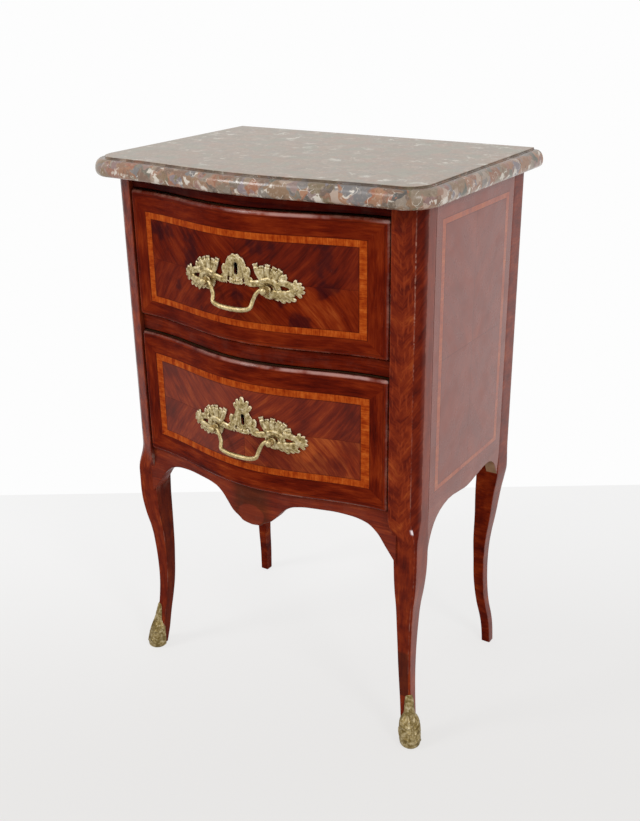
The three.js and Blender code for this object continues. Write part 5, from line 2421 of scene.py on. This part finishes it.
class Case:
    """The fixed carcass: legs, rails, apron, sides, top and the oak inside."""

    MORTISE_DEPTH = 0.007
    RAIL_RIM = 0.0012

    def __init__(self, trees: Trees) -> None:
        """Keeps the geometry trees.

        Args:
            trees: The geometry trees.
        """
        self.trees = trees
        self.front_leg = Leg("front_leg_right", 5)
        self.rear_leg = Leg("rear_leg_right", 4)
        self.post_finish = LegVeneer(
            "veneer_front_leg",
            tone=0.05,
            contrast=0.5,
            haze_and_sheen=0.03,
            side_haze_and_sheen=0.34,
            dark_low=70.0,
            dark_high=138.0,
            glint_height=319.5,
        )
        self.rear_finish = LegVeneer(
            "veneer_rear_leg",
            tone=0.06,
            contrast=0.5,
            knee_height=2000.0,
            seed=6.0,
            side_haze_and_sheen=0.16,
            front_facet=2.0,
            is_cross_grained=True,
        )

    def build(self) -> None:
        """Builds all pieces of the carcass."""
        self.build_top()
        cutters = self.build_legs()
        self.build_apron(cutters)
        self.build_shoes(cutters)
        for cutter in cutters:
            bpy.data.objects.remove(cutter)
        self.build_rails()
        self.dress_boards()

    def build_top(self) -> None:
        """Builds the marble slab."""
        slab = MarbleTop().build()
        seat(slab, Body.CASE, ["marble_top"], Breccia("breccia"))

    def build_legs(self) -> list[bpy.types.Object]:
        """Builds the four legs.

        Returns:
            Slightly fat copies of the front legs, right and left, that cut their neighbours.
        """
        for leg, word, finish in (
            (self.front_leg, "front_leg", self.post_finish),
            (self.rear_leg, "rear_leg", self.rear_finish),
        ):
            right = leg.build()
            right.name = f"{word}_post_right"
            left = mirrored(right, f"{word}_post_left")
            seat(right, Body.CASE, [f"{word}_right"], finish)
            seat(left, Body.CASE, [f"{word}_left"], finish)
        right_cutter = self.front_leg.build(SEAT_GAP)
        return [right_cutter, mirrored(right_cutter, "left_cutter")]

    def build_apron(self, cutters: Sequence[bpy.types.Object]) -> None:
        """Builds the front apron.

        Args:
            cutters: Slightly fat copies of the front legs, right and left.
        """
        foot = (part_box("front_apron")[1].z - Apron.drop) / MM
        finish = BoardVeneer(
            "veneer_apron", tone=0.03, haze_and_sheen=0.06, dark_middle=36.0, pendant_foot=foot, seed=2.0
        )
        seat(Apron().build(cutters), Body.CASE, ["front_apron"], finish)

    def build_shoes(self, cutters: Sequence[bpy.types.Object]) -> None:
        """Builds both shoes.

        Args:
            cutters: Slightly fat copies of the front legs, right and left.
        """
        gilt = GiltBronze("gilt_shoe", soot=0.9, patina=0.9, depth=0.28, dusk=0.38, gloss_roughness=0.42)
        _, rings = self.front_leg.stations()
        foot = (rings[0][1] + rings[0][4]) / 2
        right = Shoe((*foot, 0.0)).build(self.trees, cutters[0], gilt)
        left = mirrored(right, "shoe_left_leaf")
        seat(right, Body.CASE, ["shoe_right"], gilt)
        seat(left, Body.CASE, ["shoe_left"], gilt)

    def build_rails(self) -> None:
        """Builds the two rails across the front, with the mortises for the bolts."""
        # The top rail's low tone is painted shade from the marble's overhang.
        for node, drawer, tone in (("top_rail_front", "upper", -0.17), ("drawer_rail", "lower", -0.04)):
            finish = BoardVeneer(f"veneer_{node}", tone=tone, seed=4.0)
            low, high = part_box(node)
            sizes = {"Setback": RAIL_SETBACK, "Rim": self.RAIL_RIM, "Columns": 121, "Rows": 21}
            sizes.update({"Straight back": 1.0, "Back plane": high.y})
            rail = serpentine(f"{node}_board", self.trees, (low, high), sizes, finish)
            bolt_low, bolt_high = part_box(f"{drawer}_lock_bolt")
            mortise_low = (bolt_low.x, bolt_low.y, low.z - CUT_OVERRUN)
            cut(rail, room(mortise_low, (bolt_high.x, bolt_high.y, low.z + self.MORTISE_DEPTH)))
            seat(rail, Body.CASE, [node])

    def dress_boards(self) -> None:
        """Gives the flat boards of the carcass their finishes."""
        side_finish = FramedVeneer(
            "veneer_side",
            plane=Plane.SIDE,
            middle_across=23.6,
            middle_up=525.5,
            half_across=83.5,
            half_up=162.0,
            band_across=8.6,
            band_up=6.4,
            band_tone=0.1,
            outer_across=107.4,
            outer_up=190.0,
            outer_middle_up=525.5,
            has_bead=False,
            # The side panel's paleness is partly old varnish's haze and partly painted sheen.
            haze_and_sheen=0.43,
            contrast=0.36,
            coat=0.2,
            specular=0.3,
            depth_limit=221.0,
            tone=0.03,
            seed=8.0,
        )
        along_y = Oak("oak_carcass_deep", along=1)
        along_x = Oak("oak_carcass_wide", along=0)
        for side in Side:
            dress(f"side_panel_{side.word}", side_finish)
            dress(f"top_kicker_{side.word}", along_y)
            for drawer in ("upper", "lower"):
                dress(f"{drawer}_runner_{side.word}", along_y)
        for node in ("top_rail_back", "back_panel", "back_rail_bottom", "bottom_board"):
            dress(node, along_x)


def seen_directly(graph: Graph) -> Value:
    """1 for what the camera sees, also in metal and through glass, and 0 for what only lights.

    Args:
        graph: The tree of a material or the world.

    Returns:
        The share.
    """
    names = ("Camera", "Glossy", "Transmission")
    rays = [graph.node("ShaderNodeLightPath", output=f"Is {name} Ray") for name in names]
    return graph.most(rays[0], graph.most(rays[1], rays[2]))


@dataclass(frozen=True)
class Lamp:
    """A soft lamp of the studio."""

    name: str
    place: Vertex
    width: float
    watts: float


class Studio:
    """The white floor, the light and the camera that took the photo."""

    TARGET = Vector((0.0, 0.01057, 0.37254))
    AZIMUTH = math.radians(33.01)
    ELEVATION = math.radians(23.13)
    ROLL = math.radians(-0.94)
    DISTANCE = 1.46357
    FOCAL_PIXELS = 1055.73
    PRINCIPAL = (316.79, 422.74)
    PICTURE = (640.0, 821.0)
    FLOOR_LINE = 490.0
    FLOOR_SIZE = (-3.0, 4.0)
    PALE_STRETCH = (-360.0, 480.0)
    FLOOR_GLOW_SHARE = 0.8
    ROOM_LIGHT = 0.55
    LAMPS = (
        Lamp("lamp_left", (-1.5, -2.0, 2.3), 0.9, 26.0),
        Lamp("lamp_right", (2.6, -1.3, 2.3), 0.9, 26.0),
    )

    def __init__(self) -> None:
        """Works out the camera's axes."""
        level = math.cos(self.ELEVATION)
        aside, ahead = math.sin(self.AZIMUTH) * level, math.cos(self.AZIMUTH) * level
        back = Vector((aside, -ahead, math.sin(self.ELEVATION)))
        right = (-back).cross(Vector((0, 0, 1))).normalized()
        up = right.cross(-back)
        self.right = right * math.cos(self.ROLL) + up * math.sin(self.ROLL)
        self.up = up * math.cos(self.ROLL) - right * math.sin(self.ROLL)
        self.back = back
        self.place = self.TARGET + back * self.DISTANCE

    def build_camera(self) -> None:
        """Places the camera."""
        lens = bpy.data.cameras.new("camera")
        longest = max(self.PICTURE)
        lens.sensor_fit = "AUTO"
        lens.sensor_width = 36.0
        lens.lens = self.FOCAL_PIXELS * lens.sensor_width / longest
        lens.shift_x = (self.PICTURE[0] / 2 - self.PRINCIPAL[0]) / longest
        lens.shift_y = (self.PRINCIPAL[1] - self.PICTURE[1] / 2) / longest
        camera = placed("camera", lens)
        turned = Matrix((self.right, self.up, self.back)).transposed().to_4x4()
        camera.matrix_world = Matrix.Translation(self.place) @ turned
        bpy.context.scene.camera = camera

    def floor_reach(self) -> float:
        """How far from the camera's foot the floor ends, for its edge to lie on its line in the picture.

        Returns:
            The reach in metres.
        """
        up_share = (self.PRINCIPAL[1] - self.FLOOR_LINE) / self.FOCAL_PIXELS
        ray = self.up * up_share - self.back
        travel = -self.place.z / ray.z
        return Vector((ray.x, ray.y)).length * travel

    def build_floor(self) -> None:
        """Lays the floor up to the line where the wall begins."""
        ahead = Vector((-self.back.x, -self.back.y, 0)).normalized()
        aside = ahead.cross(Vector((0, 0, 1)))
        foot = Vector((self.place.x, self.place.y, 0))
        near, wide = self.FLOOR_SIZE
        far = self.floor_reach()
        corners = [
            foot + ahead * depth + aside * width
            for depth, width in ((near, -wide), (near, wide), (far, wide), (far, -wide))
        ]
        mesh = bpy.data.meshes.new("floor")
        mesh.from_pydata([corner[:] for corner in corners], [], [(0, 1, 2, 3)])
        floor = placed("floor", mesh)
        made = bpy.data.materials.new("floor_paint")
        made.use_nodes = True
        made.node_tree.nodes.clear()
        graph = Graph(made.node_tree)
        paint = graph.node("ShaderNodeBsdfDiffuse", sockets={"Color": linear(236, 235, 234)})
        x, y, _ = graph.axes(graph.place())
        depth = x * ahead.x + y * ahead.y
        # Painted light: the floor's glow is darker near the camera and paler towards the wall.
        share = graph.rise(depth, *self.PALE_STRETCH)
        pale = graph.tint(share, linear(237, 236, 235), linear(252, 252, 252))
        white = graph.node("ShaderNodeEmission", sockets={"Color": pale, "Strength": 1.0})
        glow = seen_directly(graph) * self.FLOOR_GLOW_SHARE
        lit = graph.node("ShaderNodeMixShader", sockets={0: glow, 1: paint, 2: white})
        graph.node("ShaderNodeOutputMaterial", sockets={"Surface": lit})
        mesh.materials.append(made)
        floor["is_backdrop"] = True

    def build_light(self) -> None:
        """Sets the world's even light, with a white wall behind, and the soft lamps."""
        world = bpy.data.worlds.new("studio")
        bpy.context.scene.world = world
        world.use_nodes = True
        world.node_tree.nodes.clear()
        graph = Graph(world.node_tree)
        wall = graph.node("ShaderNodeBackground", sockets={"Color": linear(253, 253, 253), "Strength": 1.0})
        sockets = {"Color": linear(253, 252, 250), "Strength": self.ROOM_LIGHT}
        glow = graph.node("ShaderNodeBackground", sockets=sockets)
        mixed = graph.node("ShaderNodeMixShader", sockets={0: seen_directly(graph), 1: glow, 2: wall})
        graph.node("ShaderNodeOutputWorld", sockets={"Surface": mixed})
        for lamp in self.LAMPS:
            self.build_lamp(lamp)

    def build_lamp(self, lamp: Lamp) -> None:
        """Hangs one soft lamp, aimed at the commode's middle.

        Args:
            lamp: What is hung.
        """
        light = bpy.data.lights.new(lamp.name, "AREA")
        light.shape = "DISK"
        light.size = lamp.width
        light.energy = lamp.watts
        made = placed(lamp.name, light)
        made.location = lamp.place
        aim = self.TARGET - Vector(lamp.place)
        made.rotation_euler = aim.to_track_quat("-Z", "Y").to_euler()
        made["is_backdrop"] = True

    def build(self) -> None:
        """Builds the whole studio."""
        self.build_camera()
        self.build_floor()
        self.build_light()
        bpy.context.scene.view_settings.view_transform = "Standard"


def drawers() -> tuple[Drawer, Drawer]:
    """The two drawers with their veneers.

    Returns:
        The upper drawer and the lower one.
    """
    upper_face = FramedVeneer(
        "veneer_upper_drawer",
        middle_across=-1.6,
        middle_up=616.9,
        half_across=151.4,
        half_up=49.9,
        band_up=7.8,
        outer_up=81.5,
        outer_middle_up=618.7,
        tones=Quarters(-0.01, -0.04, 0.0, 0.05),
        hazes_and_sheen=Quarters(0.0, 0.02, 0.02, 0.0),
        border_tone=0.01,
        band_tone=0.03,
        key_up=638.7,
        contrast=0.52,
        stain=0.6,
        seed=1.0,
    )
    lower_face = FramedVeneer(
        "veneer_lower_drawer",
        middle_up=429.3,
        half_across=151.8,
        half_up=49.6,
        band_across=10.6,
        band_up=8.6,
        outer_up=85.5,
        outer_middle_up=429.3,
        band_tone=0.03,
        tones=Quarters(0.06, 0.04, 0.04, 0.15),
        hazes_and_sheen=Quarters(0.14, 0.06, 0.15, 0.04),
        key_up=448.0,
        stain=0.22,
        seed=5.0,
    )
    upper = Drawer("upper", Body.UPPER_DRAWER, Body.UPPER_BAIL, upper_face, 14.5, 15.5, 1.0, False)
    lower = Drawer("lower", Body.LOWER_DRAWER, Body.LOWER_BAIL, lower_face, 11.5, 14.5, 5.0, True)
    return upper, lower


def write_sizes(before: object) -> None:
    """Gathers the frame's bounds as they were after loading and as they are now, but does not keep or write
    them.

    Args:
        before: The bounds right after the frame was loaded.
    """
    sizes = {"before": plain(before), "after": plain(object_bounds())}


def plain(bounds: object) -> object:
    """Turns vectors, at any depth, into plain lists.

    Args:
        bounds: A number, or vectors at any depth.

    Returns:
        The same numbers in lists.
    """
    if isinstance(bounds, (int, float)):
        return float(bounds)
    return [plain(part) for part in bounds]


def main() -> None:
    """Builds the commode and its studio."""
    logging.basicConfig(level=logging.INFO, format="%(name)s: %(message)s")
    loaded_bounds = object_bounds()
    trees = Trees()
    Case(trees).build()
    for drawer in drawers():
        drawer.build(trees)
    Studio().build()
    write_sizes(loaded_bounds)


if __name__ == "__main__":
    main()
